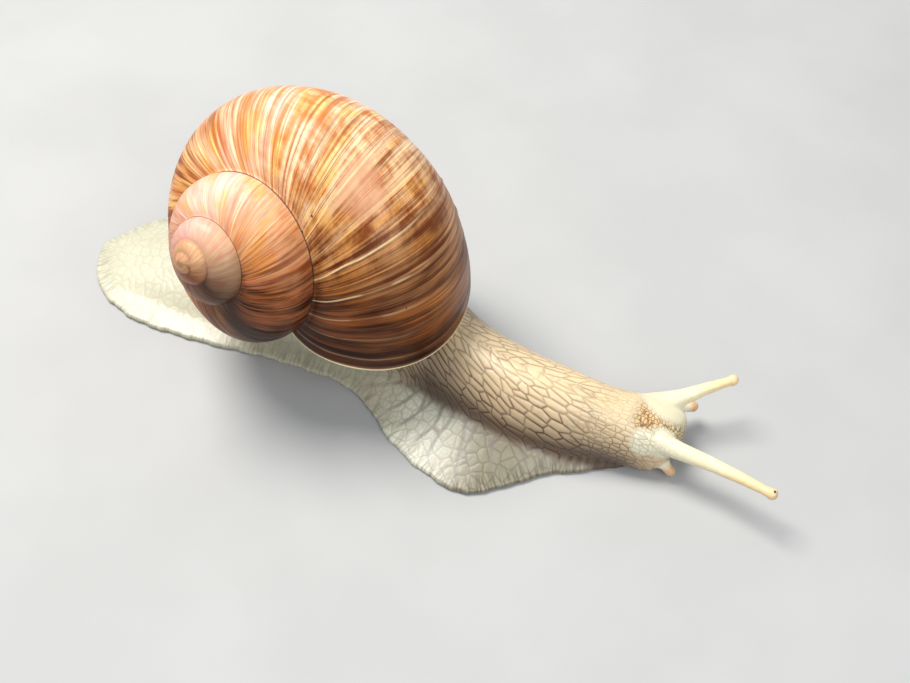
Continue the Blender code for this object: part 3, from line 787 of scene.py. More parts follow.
def horn_colour(growth, down, turn, streaks, patches):
    """Streaked and patched brown horn with golden and rosy parts, and its deepest brown alone."""
    age = span(turn, -TURNS * 2 * math.pi, 0.0, interpolation="LINEAR")
    # the tints come round once a turn: the horn's own bands, with painted light on each whorl's top and
    # painted shade, near black, on its side that faces down in the view
    pale = ramp(age, [(place, paint(*light)) for place, light, _ in WHORL_TINTS_WITH_LIGHT_AND_SHADE])
    deep = ramp(age, [(place, paint(*dark)) for place, _, dark in WHORL_TINTS_WITH_LIGHT_AND_SHADE])
    tone = (streaks - 0.5) * 1.7 + 0.5 + (patches - 0.5) * 1.6
    plain = span(turn, -10.5, -6.0, 0.4, 1.0)
    tone = (tone - 0.42) * plain + 0.42
    colour = mix(span(tone, 0.12, 0.84), pale, deep)
    gold = span(grain(growth, down, 5.5, 1.8, 17.0, 3.0), 0.5, 0.62, 0.0, 0.7) * span(turn, *FIRST_WHORLS)
    colour = mix(gold, colour, (0.52, 0.42, 0.18, 1.0), "OVERLAY")
    rose = span(grain(growth, down, 5.0, 1.4, 47.0), 0.52, 0.64, 0.0, 0.8) * span(growth, -1.0, -1.8)
    return mix(rose, colour, (0.5, 0.42, 0.47, 1.0), "OVERLAY"), deep


def line_colour(growth, down, turn, hair, colour, deep):
    """Hair-fine dark and pale lines, and pale spokes that run down from the suture."""
    shown = span(turn, *FIRST_WHORLS) * span(turn, -8.5, -5.5, 0.45, 1.0)   # fainter before the last whorl
    colour = mix(span(hair, 0.54, 0.66, 0.0, 0.6) * shown, colour, mix(0.35, paint(60, 28, 12), deep))
    colour = mix(span(hair, 0.44, 0.33, 0.0, 0.8) * shown, colour, (0.9, 0.84, 0.72, 1.0), "OVERLAY")
    near = span(down, 0.75, 0.05) * span(turn, -13.0, -9.0)
    spokes = span(grain(growth, down, 44.0, 1.4, 23.0), 0.55, 0.64, 0.0, 0.85) * near
    return mix(spokes, colour, (0.92, 0.86, 0.76, 1.0), "OVERLAY")


def edge_colour(turn, colour):
    """Painted shade as a dark line in the suture's crease, and the lip's pale rim with a tan band behind it.
    """
    upper, lower, lip = parts_of(stored(turn.socket.id_data, "seam"))
    # painted shade in the crease where a whorl meets the one before
    joint = span(calc("MINIMUM", upper, lower), 0.3, 0.08) * span(turn, -16.0, -6.0, 0.12, 0.85)
    colour = mix(joint, colour, paint(54, 30, 20))
    colour = mix(span(lip, 0.9, 0.3, 0.0, 0.45), colour, paint(150, 110, 82))
    return mix(span(lip, 0.34, 0.12, 0.0, 0.95), colour, paint(236, 214, 168))


def worn_spot(growth, down, streaks, colour):
    """A place on the flank where the brown outer layer has worn to a dull pinkish tan."""
    at, over, reach, wide = WORN_SPOT
    off = vector_of((growth - at) / reach, (down - over) / wide)
    edge = streaks * 1.6 + vector("LENGTH", off)
    return mix(span(edge, 2.0, 1.4, 0.0, 0.6), colour, paint(206, 148, 112))


def shell_pits(here, turn):
    """Tiny dark pits, many in clusters on the flank and few elsewhere."""
    flank = span(turn, -2.9, -1.9) * span(turn, -0.6, -1.2)
    cluster = flank * span(noise(here, 130.0), 0.5, 0.62)
    return dots(here, 620.0, 0.12, 0.07, cluster * -0.5 + 0.955)


def shell_finish():
    """Brown horn that follows the coil: its age, its growth lines and the place across the whorl."""
    made, here = material("shell_horn_brown")
    growth, down, turn = parts_of(stored(made.node_tree, "coil"))
    streaks = grain(growth, down, 26.0, 0.7, 3.0, 4.0, 0.62)
    hair = grain(growth, down, 80.0, 0.7, 5.0)
    patches = shell_patches(growth, down)
    colour, deep = horn_colour(growth, down, turn, streaks, patches)
    colour = line_colour(growth, down, turn, hair, colour, deep)
    colour = worn_spot(growth, down, streaks, colour)
    _, rests = growth_relief(growth, down)
    colour = mix(rests * span(down, 1.15, 0.5, 0.12, 0.85), colour, paint(236, 206, 158))
    colour = edge_colour(turn, colour)
    pits = shell_pits(here, turn)
    colour = mix(pits * 0.85, colour, paint(46, 26, 18))
    height = (streaks * 0.6 + hair * 0.5) * span(turn, *FIRST_WHORLS) - pits * 0.9
    return finish(made, Base_Color=colour, Roughness=span(patches, 0.3, 0.7, 0.32, 0.46),
                  Normal=relief(height, 0.00012, 0.6), Specular_IOR_Level=0.13,
                  Coat_Weight=0.06, Coat_Roughness=0.2)


def inner_finish():
    """The porcelain-like inside of the shell's mouth."""
    made, here = material("shell_inside_porcelain")
    cloud = noise(here, 260.0, 3.0)
    colour = mix(cloud, paint(226, 206, 180), paint(196, 160, 140))
    return finish(made, Base_Color=colour, Roughness=0.25, Normal=relief(cloud, 0.0001, 0.3))


def mark_shell(mesh, coil):
    """Keep on the flat pattern what the winding, the relief and the colours follow."""
    keep_vectors(mesh, "pinch", coil.pinch)
    keep_vectors(mesh, "rim", coil.rim)
    corners = np.array(coil.corners)
    keep_vectors(mesh, "coil", corners, "CORNER")
    of_vertex = np.zeros(len(mesh.loops), np.int32)
    mesh.loops.foreach_get("vertex_index", of_vertex)
    lines = np.zeros((len(mesh.vertices), 3))
    lines[of_vertex[::-1]] = corners[::-1]
    keep_vectors(mesh, "lines", lines)
    growth, down, turn = corners.T
    wall = WALL_HEIGHT * np.exp(GROWTH_RATE * turn)
    below = np.where(turn > -2 * math.pi, FAR_OFF, np.abs(1 - down) * wall)
    lip = np.clip(-growth * SHELL_RADIUS, 0, FAR_OFF)
    keep_vectors(mesh, "seam", np.stack([down * wall, below, lip], 1), "CORNER")
    flags = mesh.attributes.new("inside", "BOOLEAN", "FACE")
    flags.data.foreach_set("value", np.array(coil.inside, bool))


def make_shell():
    """Wind the shell, set it at its place and return it, its coil and the matrix that places it."""
    coil = Coil()
    mesh = mesh_from("shell_pattern", coil.points, coil.faces)
    mark_shell(mesh, coil)
    smooth_all(mesh)
    shell = piece_from("snail_shell", mesh)
    inputs = {**SHELL_SIZES, "Mouth middle": tuple(float(c) for c in coil.middle),
              "Outer finish": shell_finish(), "Inner finish": inner_finish()}
    run_tree(shell, shell_tree(inputs), inputs)
    flatten(shell)
    place = shell_matrix(shell.data)
    shell.data.transform(place)
    return shell, coil, place


def shell_matrix(mesh):
    """What turns the wound shell and sets it where the CAD shell is."""
    turned = Matrix.Scale(MM, 4) @ Euler([math.radians(a) for a in SHELL_TURN]).to_matrix().to_4x4()
    co = vertices_of(mesh) @ np.array(turned.to_3x3()).T
    low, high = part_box("shell")
    return Matrix.Translation((low + high) / 2 - Vector((co.min(0) + co.max(0)) / 2)) @ turned


# ------------------------------------------------------------------ the flesh, as one surface
def rim_at(x, side):
    """The foot's edge: wavy by a hair's breadth, as flesh is."""
    reach = along(FOOT_LEFT, x) if side > 0 else along(FOOT_RIGHT, x)
    wave = 0.10 * np.sin(1.3 * x + side) + 0.06 * np.sin(3.1 * x + 2 * side) + 0.03 * np.sin(7.1 * x)
    if side > 0:
        reach = reach - 0.8 * ease(52, 58, x) * ease(86, 81, x)
    return side * (reach - 0.08 + wave * ease(2, 8, x) * ease(87, 82, x))


def fold_height(x, y):
    """Height of the fold between the foot and the back; it is drawn up on the right, over the skirt."""
    return along(SHOULDER_Z, x) + along(FOLD_RISE, x) * ease(0, -2, y)


def foot_ring(x):
    """The flat slab of the foot with its thin rims, sloping up to the fold at the back's sides."""
    thick = min(EDGE_THICK, along(SHOULDER_Z, x))
    halves = []
    for side, slope in ((-1, 1.2), (1, 0.8)):
        shoulder = float(fold_height(x, 9.0 * side))
        start = rim_at(x, side) - side * EDGE_ROUND
        valley = along(RIDGE_Y, x) + side * along(RIDGE_HALF, x) * 0.92
        half = []
        for a in np.radians(np.linspace(-90, 90, 9)):
            half.append((x, start + side * EDGE_ROUND * math.cos(a), thick * (0.5 + 0.5 * math.sin(a))))
        for t in np.linspace(0, 1, 22)[1:]:
            half.append((x, start + (valley - start) * t, thick + (shoulder - thick) * t ** slope))
        halves.append(half)
    return halves[0] + halves[1][::-1]


def back_ring(x):
    """The arch of the back, neck and head, sunk a little into the foot."""
    chin = max(0.0, (x - FOOT_END) / (HEAD_END - FOOT_END))
    shoulder = float(along(SHOULDER_Z, x))
    base = shoulder + CHIN_RISE * chin * chin
    middle, half, tall = along(RIDGE_Y, x), along(RIDGE_HALF, x), along(RIDGE_Z, x) - base
    power = TAIL_POWER + (RIDGE_POWER - TAIL_POWER) * float(ease(24, 44, x))
    ring = []
    for a in np.linspace(0, math.pi, 37):
        u = -math.copysign(abs(math.cos(a)) ** (2 / power), math.cos(a))
        ring.append((x, middle + u * half, base + math.sin(a) ** (2 / power) * tall))
    low = base - 0.7 * min(1.0, shoulder - 0.6) * (1 - chin)
    return ring + [(x, middle + half * t, low) for t in (0.9, 0.45, 0.0, -0.45, -0.9)]


def aim_of(line):
    """The way that a feeler's end points."""
    way = line[-1, :3] - line[-2, :3]
    return way / np.linalg.norm(way)


def reach_of(line):
    """Distance along a feeler's centre line of each of its stations."""
    return np.concatenate([[0], np.cumsum(np.linalg.norm(np.diff(line[:, :3], axis=0), axis=1))])


def tube_rings(stations, knob):
    """Rings round a feeler's bent centre line, ending in a round knob."""
    line = np.array(stations)
    aim, reach = aim_of(line), reach_of(line)
    full = reach[-1] + knob * 2.4 + FEELER_MORE
    rings = []
    for s in np.append(np.arange(0, full - 0.3, 0.25), full - np.array([0.28, 0.16, 0.07, 0.015])):
        spot = [float(np.interp(s, reach, line[:, k])) for k in range(3)]
        if s > reach[-1]:
            spot = line[-1, :3] + aim * (s - reach[-1])
        radius = float(along(list(zip(reach, line[:, 3])), s))
        off = s - (full - knob)
        ball = math.sqrt(max(0.0, knob * knob - off * off))
        radius = ball if off > 0 else max(radius, ball * float(ease(-knob, -0.3 * knob, off)))
        ahead = [float(np.interp(s + 0.6, reach, line[:, k])) for k in range(3)]
        way = Vector(aim) if s + 0.6 > reach[-1] else (Vector(ahead) - Vector(spot)).normalized()
        across = way.cross(Vector((0, 0, 1))).normalized()
        over = across.cross(way)
        rings.append([Vector(spot) + (across * math.cos(t) + over * math.sin(t)) * radius
                      for t in np.linspace(0, 2 * math.pi, RING_SIDES, endpoint=False)])
    return rings


def lips_rings():
    """The pair of lips under the front of the head, as a stretched ball."""
    rings = []
    for a in np.radians(np.linspace(-86, 86, 17)):
        rings.append([(MOUTH_AT[0] + MOUTH_SIZE[0] * math.cos(a) * math.cos(t),
                       MOUTH_AT[1] + MOUTH_SIZE[1] * math.sin(a),
                       MOUTH_AT[2] + MOUTH_SIZE[2] * math.cos(a) * math.sin(t))
                      for t in np.linspace(0, 2 * math.pi, RING_SIDES, endpoint=False)])
    return rings


def loft_into(points, faces, rings):
    """Add a closed loft through rings of equally many points."""
    start, count = len(points), len(rings[0])
    points.extend(p for ring in rings for p in ring)
    for a in range(start, len(points) - count, count):
        for i in range(count):
            j = (i + 1) % count
            faces.append((a + i, a + j, a + count + j, a + count + i))
    faces.append(tuple(start + i for i in range(count))[::-1])
    faces.append(tuple(len(points) - count + i for i in range(count)))


def flesh_mesh():
    """Foot, back, head, lips and feelers joined and made one closed skin of even cells."""
    points, faces = [], []
    stops = np.append(np.arange(TAIL_TIP, 3, 0.15), np.arange(3, HEAD_END, 0.4))
    loft_into(points, faces, [foot_ring(x) for x in stops if x < FOOT_END])
    front = np.append(stops[stops < 88], 88 + (HEAD_END - 88) * np.sin(np.linspace(0, math.pi / 2, 12)))
    loft_into(points, faces, [back_ring(x) for x in front])
    for stations, knob in FEELERS:
        loft_into(points, faces, tube_rings(stations, knob))
    loft_into(points, faces, lips_rings())
    mesh = mesh_from("flesh", points, faces)
    face_outwards(mesh)
    skin = piece_from("flesh", mesh)
    even = skin.modifiers.new("one skin", "REMESH")
    even.mode = "VOXEL"
    even.voxel_size = SKIN_VOXEL
    return flatten(skin)


def relax(mesh, weight, rounds, restore=0.0):
    """Move each vertex towards the mean of its neighbours by its weight, a number of times.

    With restore, each round also moves it back by that much more, which keeps thin parts full."""
    co = vertices_of(mesh)
    edges = np.zeros(len(mesh.edges) * 2, np.int32)
    mesh.edges.foreach_get("vertices", edges)
    a, b = edges.reshape(-1, 2).T
    count = np.bincount(np.concatenate([a, b]), minlength=len(co))[:, None]
    for step in [1.0, -restore] * rounds:
        total = np.stack([np.bincount(a, co[b, k], len(co)) + np.bincount(b, co[a, k], len(co))
                          for k in range(3)], 1)
        co += (total / count - co) * weight[:, None] * step
    mesh.vertices.foreach_set("co", co.astype(np.float32).ravel())
    mesh.update()


def on_body(co):
    """Where each point lies on the body: its side, how far past the fold, and its arc from the top."""
    x, y, z = co.T
    middle, half = along(RIDGE_Y, x), along(RIDGE_HALF, x)
    shoulder, top = along(SHOULDER_Z, x), along(RIDGE_Z, x)
    off = np.abs(y - middle)
    angle = np.arctan2(off / half, np.maximum(z - shoulder, 0) / (top - shoulder))
    return np.sign(y - middle), off - half, angle * 0.5 * (half + top - shoulder)


def on_feeler(co, stations, knob):
    """Distance from a feeler's centre line over its radius there, and the share of its length."""
    line = np.array(stations)
    line = np.vstack([line, [*(line[-1, :3] + aim_of(line) * knob * 1.4), knob]])
    reach = reach_of(line)
    best = np.full(len(co), 1e9)
    share = np.zeros(len(co))
    for k in range(len(line) - 1):
        start, way = line[k, :3], line[k + 1, :3] - line[k, :3]
        t = np.clip((co - start) @ way / (way @ way), 0, 1)
        radius = line[k, 3] + (line[k + 1, 3] - line[k, 3]) * t
        away = np.linalg.norm(co - start - t[:, None] * way, axis=1) / radius
        share = np.where(away < best, (reach[k] + t * (reach[k + 1] - reach[k])) / reach[-1], share)
        best = np.minimum(best, away)
    return best, share


def on_feelers(co):
    """Distance from the nearest feeler over its radius, the share of its length, and which one it is."""
    best, share, nearest = np.full(len(co), 9.0), np.zeros(len(co)), np.zeros(len(co))
    for k, (stations, knob) in enumerate(FEELERS):
        away, t = on_feeler(co, stations, knob)
        share = np.where(away < best, t, share)
        nearest = np.where(away < best, k, nearest)
        best = np.minimum(best, away)
    return best, share, nearest


def on_rim(co):
    """Distance along the foot's edge from the tail's end, right side negative, and distance from it."""
    x = np.append(np.arange(TAIL_TIP, 6, 0.1), np.arange(6, FOOT_END, 0.35))
    edge = np.concatenate([np.stack([x, rim_at(x, -1)], 1)[::-1], np.stack([x, rim_at(x, 1)], 1)])
    way = np.diff(edge, axis=0)
    length = np.linalg.norm(way, axis=1)
    reach = np.concatenate([[0], np.cumsum(length)])
    reach -= reach[len(x)]
    place, away = np.zeros(len(co)), np.zeros(len(co))
    for k in range(0, len(co), 4000):
        here = co[k:k + 4000, None, :2] - edge[None, :-1]
        t = np.clip((here * way).sum(2) / (length * length), 0, 1)
        gap = np.linalg.norm(here - t[:, :, None] * way, axis=2)
        near = gap.argmin(1)
        row = np.arange(len(near))
        place[k:k + 4000] = reach[near] + t[row, near] * length[near]
        away[k:k + 4000] = gap[row, near]
    return place, away


def sway(co, pitch, seed):
    """A smooth random shift of each point, for patterns that are not too regular."""
    x, y, z = (co / pitch).T
    one = np.sin(x + 1.7 * np.sin(y * 1.3 + seed)) + np.sin(1.9 * y + seed + z)
    other = np.sin(y * 1.2 + 2.1 * np.sin(x * 0.9 + 2 * seed)) + np.sin(1.6 * x + 3 * seed - z)
    return np.stack([one, other], 1) * 0.5


def mark_flows(mesh, co, side, beyond, arc):
    """Keep on each vertex the flat coordinates in which the nets and stripes of the skin are drawn."""
    x, y, _ = co.T
    place, inland = on_rim(co)
    fall = np.where(x < 86, along(GROOVE_FALL, x), GROOVE_FALL[-1][1])
    bend = 0.16 * sway(co, 2.6, 1.0)
    across = (arc - fall) / CELL_WIDTH + bend[:, 1]
    keep_vectors(mesh, "neck_flow", np.stack([x / CELL_LENGTH + bend[:, 0], across, side * arc], 1))
    keep_vectors(mesh, "rim_flow", np.stack([place, inland, beyond], 1))
    away = co[:, :2] - np.array(VEIN_MIDDLE) + 0.5 * sway(co, 3.1, 4.0)
    far = np.hypot(away[:, 0], away[:, 1])
    turn = np.arctan2(away[:, 0], -away[:, 1] * np.sign(-y - 1.0))
    veins = np.stack([turn / VEIN_PITCH + 50 * (y > -1), far / VEIN_LENGTH, far], 1)
    keep_vectors(mesh, "veins", veins)
    keep_vectors(mesh, "rest", co)


def mark_skin(mesh):
    """Keep on each vertex where it lies on the body, for the relief and the colours to follow."""
    co = vertices_of(mesh)
    x, y, z = co.T
    side, beyond, arc = on_body(co)
    mark_flows(mesh, co, side, beyond, arc)
    away, share, nearest = on_feelers(co)
    on_tail = ease(56, 44, x)
    skirt = ease(-0.2, 1.6, beyond) * (1 - on_tail)
    cone = ease(4.5, 3.0, np.linalg.norm(co - np.array(FAR_CONE), axis=1))
    root = ease(2.1, 1.3, np.linalg.norm(co - np.array(NEAR_ROOT), axis=1))
    feeler = np.maximum(ease(1.55, 1.1, away) * ease(86.0, 88.5, x), np.maximum(cone, root))
    grains = ease(83.4, 85.4, x) * ease(4.4, 3.3, np.abs(y + 0.4)) * (1 - feeler)
    neck = (1 - on_tail) * (1 - skirt) * (1 - grains) * (1 - feeler)
    keep_vectors(mesh, "zone", np.stack([neck, skirt, grains], 1))
    keep_vectors(mesh, "feeler", np.stack([feeler, share, on_tail], 1))
    keep_vectors(mesh, "roots", np.stack([root, cone, (nearest > 1.5) * feeler], 1))
    # painted shade along the fold between the neck and the skirt, partly the skin's own brown, and under the
    # shell's lip; painted light on the neck's top
    rise = np.maximum(z - fold_height(x, y), 0) / (2.3 + 0.8 * ease(70, 60, x))
    out = np.maximum(beyond - 0.2, 0) / (0.9 + 0.4 * ease(74, 60, x))
    fold = np.exp(-out ** 2 - rise ** 2) * ease(52, 58, x) * ease(89, 84, x)
    under_lip_shade = ease(64, 57.5, x) * ease(1.5, 6, arc)
    keep_vectors(mesh, "shade", np.stack([fold, under_lip_shade, ease(7.5, 1.5, arc)], 1))


# ------------------------------------------------------------------ the skin's grooves and its finish
def net_lines(place, length, width):
    """Millimetres to the nearest line of an irregular net, and how much that line runs lengthwise.

    The net's cells are one unit each way, which stand for length and width in millimetres."""
    inputs = {"Vector": place, "Scale": 1.0, "Randomness": 0.85}
    first, second = (made_by("ShaderNodeTexVoronoi", inputs, "Position", voronoi_dimensions="2D",
                             feature=feature) for feature in ("F1", "F2"))
    way = vector("NORMALIZE", vector("SUBTRACT", second, first))
    middle = scaled(vector("ADD", first, second), 0.5)
    off = vector("DOT_PRODUCT", vector("SUBTRACT", middle, place), way)
    across, along_it, _ = parts_of(way)
    across, along_it = across / length, along_it / width
    slope = calc("SQRT", across * across + along_it * along_it)
    return off / slope, abs(along_it) / slope


def neck_net(tree, deep, fine):
    """Lines between the neck's tubercles: a slanting net on each flank that meet along the top."""
    u, across, over = parts_of(stored(tree, "neck_flow"))
    nets = []
    for start, low, high in ((0.0, 1.0, -0.6), (40.0, -1.0, 0.6)):
        off, lie = net_lines(vector_of(u + start, across), CELL_LENGTH, CELL_WIDTH)
        nets.append(span(off, deep, fine) * span(lie, 0.0, 0.9, 0.55, 1.0) * span(over, low, high))
    return highest(*nets)


def skin_cells(tree):
    """Line distances of the skin's nets, the same for the relief and the colours."""
    s, inland, _ = parts_of(stored(tree, "rim_flow"))
    rest = stored(tree, "rest")
    x, y, _ = parts_of(rest)
    _, _, over = parts_of(stored(tree, "neck_flow"))
    turn, reach, far = parts_of(stored(tree, "veins"))
    veins, _ = net_lines(vector_of(turn, reach), far * VEIN_PITCH, VEIN_LENGTH)
    small, _ = net_lines(vector_of(x / SMALL_CELL[0], over / SMALL_CELL[1]), *SMALL_CELL)
    foot, _ = net_lines(scaled(vector_of(x, y), 1 / FOOT_CELL), FOOT_CELL, FOOT_CELL)
    foot_fine, _ = net_lines(scaled(vector_of(y, x), 1 / FINE_CELL), FINE_CELL, FINE_CELL)
    stria = noise(vector_of(s * 2.3, inland * 0.25), 1.0, 2.0)
    return {"veins": veins, "foot": foot, "foot_fine": foot_fine, "behind_head": small,
            "head": cell_edge(rest, HEAD_CELLS), "stria": stria, "inland": inland,
            "small_cells": span(x, *SMALL_CELLS_X), "large_cells": span(x, *LARGE_CELLS_X), "x": x}


def skin_tree(inputs):
    """Geometry Nodes that sink the grooves between the skin's tubercles."""
    tree, given = new_tree("groove_the_skin", inputs)
    cells = skin_cells(tree)
    neck, skirt, grains = parts_of(stored(tree, "zone"))
    _, _, tail = parts_of(stored(tree, "feeler"))
    _, _, beyond = parts_of(stored(tree, "rim_flow"))
    fold, _, warm = parts_of(stored(tree, "shade"))
    small = span(cells["behind_head"], 0.24, 0.0, 0.0, 0.7) * cells["small_cells"]
    groove = highest(neck_net(tree, 0.34, 0.0) * cells["large_cells"], small)
    groove = groove * (neck * given["Neck depth"]) * (warm * -0.55 + 1.0) * (fold * -0.7 + 1.0)
    net = highest(span(cells["foot"], 0.4, 0.0, 0.0, 0.8), span(cells["foot_fine"], 0.26, 0.0, 0.0, 0.4),
                  span(cells["veins"], 0.6, 0.0, 0.0, 0.8) * span(beyond, 0.8, 3.5),
                  span(cells["inland"], 3.0, 0.4) * span(cells["stria"], 0.62, 0.4))
    groove = net * ((skirt + tail) * given["Foot depth"]) + groove
    groove = span(cells["head"], 0.3, 0.0) * (grains * given["Head depth"]) + groove
    _, _, high = parts_of(Field(tree.nodes.new("GeometryNodeInputPosition").outputs[0]))
    sunk = lifted(given["Geometry"], -(groove * span(high, 0.1, 0.5)))    # none on the sole
    put(tree, "NodeGroupOutput", {"Geometry": painted(sunk, given["Finish"])})
    return tree


def foot_colour(cells, cloud, skirt, tail):
    """Ivory with a faint grey net, and soft grey veins on the skirt; the skirt is paler than the tail,
    painted light against the shell's shadow, and painted shade darkens it forwards.
    """
    colour = mix(cloud, paint(183, 180, 155), paint(199, 195, 172))
    # painted light: the skirt paler than the tail, against the shell's shadow on it
    colour = mix(skirt, colour, mix(cloud, paint(209, 206, 185), paint(223, 220, 200)))
    # painted shade on the skirt's front, which slopes away from the light
    shaded_front = span(cells["x"], 60.0, 68.0) * skirt
    colour = mix(shaded_front * 0.9, colour, paint(127, 120, 96))
    fine = span(cells["foot_fine"], 0.13, 0.02, 0.0, 0.22) * (shaded_front * -0.7 + 1.0)
    net = highest(span(cells["foot"], 0.2, 0.03, 0.0, 0.42), fine) * (tail * -0.4 + 1.0) * (shaded_front * 0.45 + 1.0)
    colour = mix(net, colour, mix(shaded_front, paint(146, 142, 122), paint(104, 95, 72)))
    veins = span(cells["veins"], 0.5, 0.05, 0.0, 0.6) * skirt * span(cells["inland"], 0.2, 3.5)
    colour = mix(veins, colour, paint(128, 118, 108))
    stripes = span(cells["stria"], 0.6, 0.35) * span(cells["inland"], 3.4, 0.3) * (shaded_front * 0.55 + 0.38)
    return mix(stripes, colour, paint(92, 83, 60))


def neck_colour(tree, cells, cloud, shade):
    """Warm cream tubercles between thin brown grooves; painted light makes the top paler, and painted shade
    darkens them along the fold, partly their own brown, and under the shell's lip.
    """
    fold, under_lip_shade, warm = shade
    colour = mix(cloud, paint(187, 160, 125), paint(203, 179, 142))
    # painted light on the neck's top, with the neck's own paler cream there
    colour = mix(warm * 0.7, colour, paint(222, 202, 162))
    # painted shade under the shell's lip
    colour = mix(under_lip_shade * 0.6, colour, paint(124, 106, 88))
    # painted shade along the fold, partly the skin's own brown
    colour = mix(fold * 0.92, colour, paint(68, 50, 35))
    halo = neck_net(tree, 0.4, 0.05) * cells["large_cells"]
    colour = mix(halo * 0.28, colour, paint(150, 112, 80))
    small = span(cells["behind_head"], 0.1, 0.03, 0.0, 0.75) * cells["small_cells"]
    lines = highest(neck_net(tree, 0.155, 0.05) * cells["large_cells"], small)
    uneven = span(noise(stored(tree, "neck_flow"), 0.45, 1.0), 0.38, 0.6, 0.42, 0.85)
    # the grooves are drawn darker in the painted shade along the fold and under the shell's lip
    deep = uneven * (warm * -0.5 + 1.0) + highest(fold, under_lip_shade) * 0.6
    return mix(lines * calc("MINIMUM", deep, 0.95), colour, paint(64, 38, 23))


def feeler_colour(tree, cells, share):
    """Whitish roots, cream stalks that warm towards their round ends, and tan ends on the lower pair."""
    near_root, cone, low_pair = parts_of(stored(tree, "roots"))
    upper = ramp(share, [(0.0, paint(217, 211, 187)), (0.3, paint(220, 213, 184)),
                         (0.6, paint(230, 217, 178)), (0.85, paint(230, 205, 156)),
                         (1.0, paint(228, 196, 148))])
    upper = mix(cone * span(share, 0.4, 0.2, 0.0, 0.6), upper, paint(214, 200, 164))
    lower = ramp(share, [(0.0, paint(212, 204, 180)), (0.8, paint(222, 213, 188)),
                         (0.93, paint(216, 188, 150)), (1.0, paint(200, 160, 118))])
    colour = mix(low_pair, upper, lower)
    knots = near_root * span(cells["behind_head"], 0.1, 0.02, 0.0, 0.6)
    faint = span(share, 0.5, 0.2) * span(cells["head"], 0.14, 0.02, 0.0, 0.25) * (1.0 - cone)
    return mix(highest(knots, faint), colour, paint(132, 120, 98))


def face_colour(cells, cloud):
    """Tan grains between dark lines on the face, paler at its front."""
    colour = mix(cloud, paint(218, 188, 138), paint(202, 162, 108))
    colour = mix(span(cells["x"], 87.0, 89.5), colour, paint(198, 178, 134))
    return mix(span(cells["head"], 0.15, 0.03, 0.0, 0.85), colour, paint(104, 72, 42))


def skin_finish():
    """Wet flesh: the foot's, neck's, face's and feelers' colours, each in its own zone."""
    made, here = material("snail_skin")
    tree = made.node_tree
    cells = skin_cells(tree)
    neck, skirt, grains = parts_of(stored(tree, "zone"))
    feeler, share, tail = parts_of(stored(tree, "feeler"))
    shade = parts_of(stored(tree, "shade"))
    cloud = noise(here, 420.0, 3.0)
    colour = foot_colour(cells, cloud, skirt, tail)
    # painted shade along the fold on the skirt's side, partly the skin's own brown
    colour = mix(shade[0] * 0.9, colour, paint(64, 48, 33))
    colour = mix(neck, colour, neck_colour(tree, cells, cloud, shade))
    colour = mix(grains, colour, face_colour(cells, cloud))
    colour = mix(feeler, colour, feeler_colour(tree, cells, share))
    specks = dots(here, 260.0, 0.05, 0.03, 0.8) * (1.0 - tail)
    colour = mix(specks, colour, paint(36, 30, 26))
    pores = relief(noise(here, 2600.0) * 0.35, 0.00008, 0.5)
    return finish(made, Base_Color=colour, Roughness=0.42, Normal=pores,
                  Subsurface_Weight=0.3, Subsurface_Radius=(1.0, 0.55, 0.35), Subsurface_Scale=0.0005,
                  Coat_Weight=0.22, Coat_Roughness=0.3)


def soften(mesh):
    """Smooth the flesh all over, then the tail's flanks and the joins between its parts."""
    co = vertices_of(mesh)
    _, beyond, _ = on_body(co)
    relax(mesh, np.full(len(co), 0.6), 14, restore=1.06)
    tail = np.exp(-(beyond / 3.4) ** 2) * ease(0.9, 1.2, co[:, 2]) * ease(48, 36, co[:, 0])
    relax(mesh, tail * 0.6, 80)
    joins = np.exp(-(beyond / 1.1) ** 2) * ease(1.2, 1.9, co[:, 2])
    for stations, knob in FEELERS:
        root = np.linalg.norm(co - np.array(stations[1][:3]), axis=1)
        joined = ease(ROOT_SPREAD[0] * knob, ROOT_SPREAD[1] * knob, root)
        joins = np.maximum(joins, joined * (0.7 if knob == UPPER_KNOB else 0.15))
    relax(mesh, joins * 0.6, 30)
    low = vertices_of(mesh)
    low[:, 2] = np.maximum(low[:, 2], 0.0)
    mesh.vertices.foreach_set("co", low.astype(np.float32).ravel())


def make_skin():
    """The one skin of all the flesh, with its grooves, thinned to SKIN_FACES triangles."""
    skin = flesh_mesh()
    soften(skin.data)
    mark_skin(skin.data)
    smooth_all(skin.data)
    inputs = {**GROOVE_DEPTH, "Finish": skin_finish()}
    run_tree(skin, skin_tree(inputs), inputs)
    thin = skin.modifiers.new("thin", "DECIMATE")
    thin.ratio = min(1.0, SKIN_FACES / (2.0 * len(skin.data.polygons)))
    flatten(skin)
    skin.name = "snail_skin"
    skin.data.transform(Matrix.Scale(MM, 4) @ Matrix.Translation((-ORIGIN_X, 0, 0)))
    smooth_all(skin.data)
    return skin


# ------------------------------------------------------------------ collar and eyes
def collar_ring(coil, inset, depth):
    """One ring of the collar, so far inside the lip and so far out of the mouth."""
    ring = []
    for k, point in enumerate(coil.loop):
        spoke = point - coil.middle
        pucker = 0.09 * math.sin(k * 1.7) * float(ease(LIP_THICK, 2.0, inset))
        turn, phi, _ = coil.outline[k]
        by_wall = k < coil.lip_count and inset < 1.5
        more = wall_inset(turn, phi, depth, coil.middle) if by_wall else 0.0
        share = max(0.15, 1 - (inset + more) / np.linalg.norm(spoke))
        ring.append(coil.middle + spoke * share + FACING * (depth + pucker))
    return ring


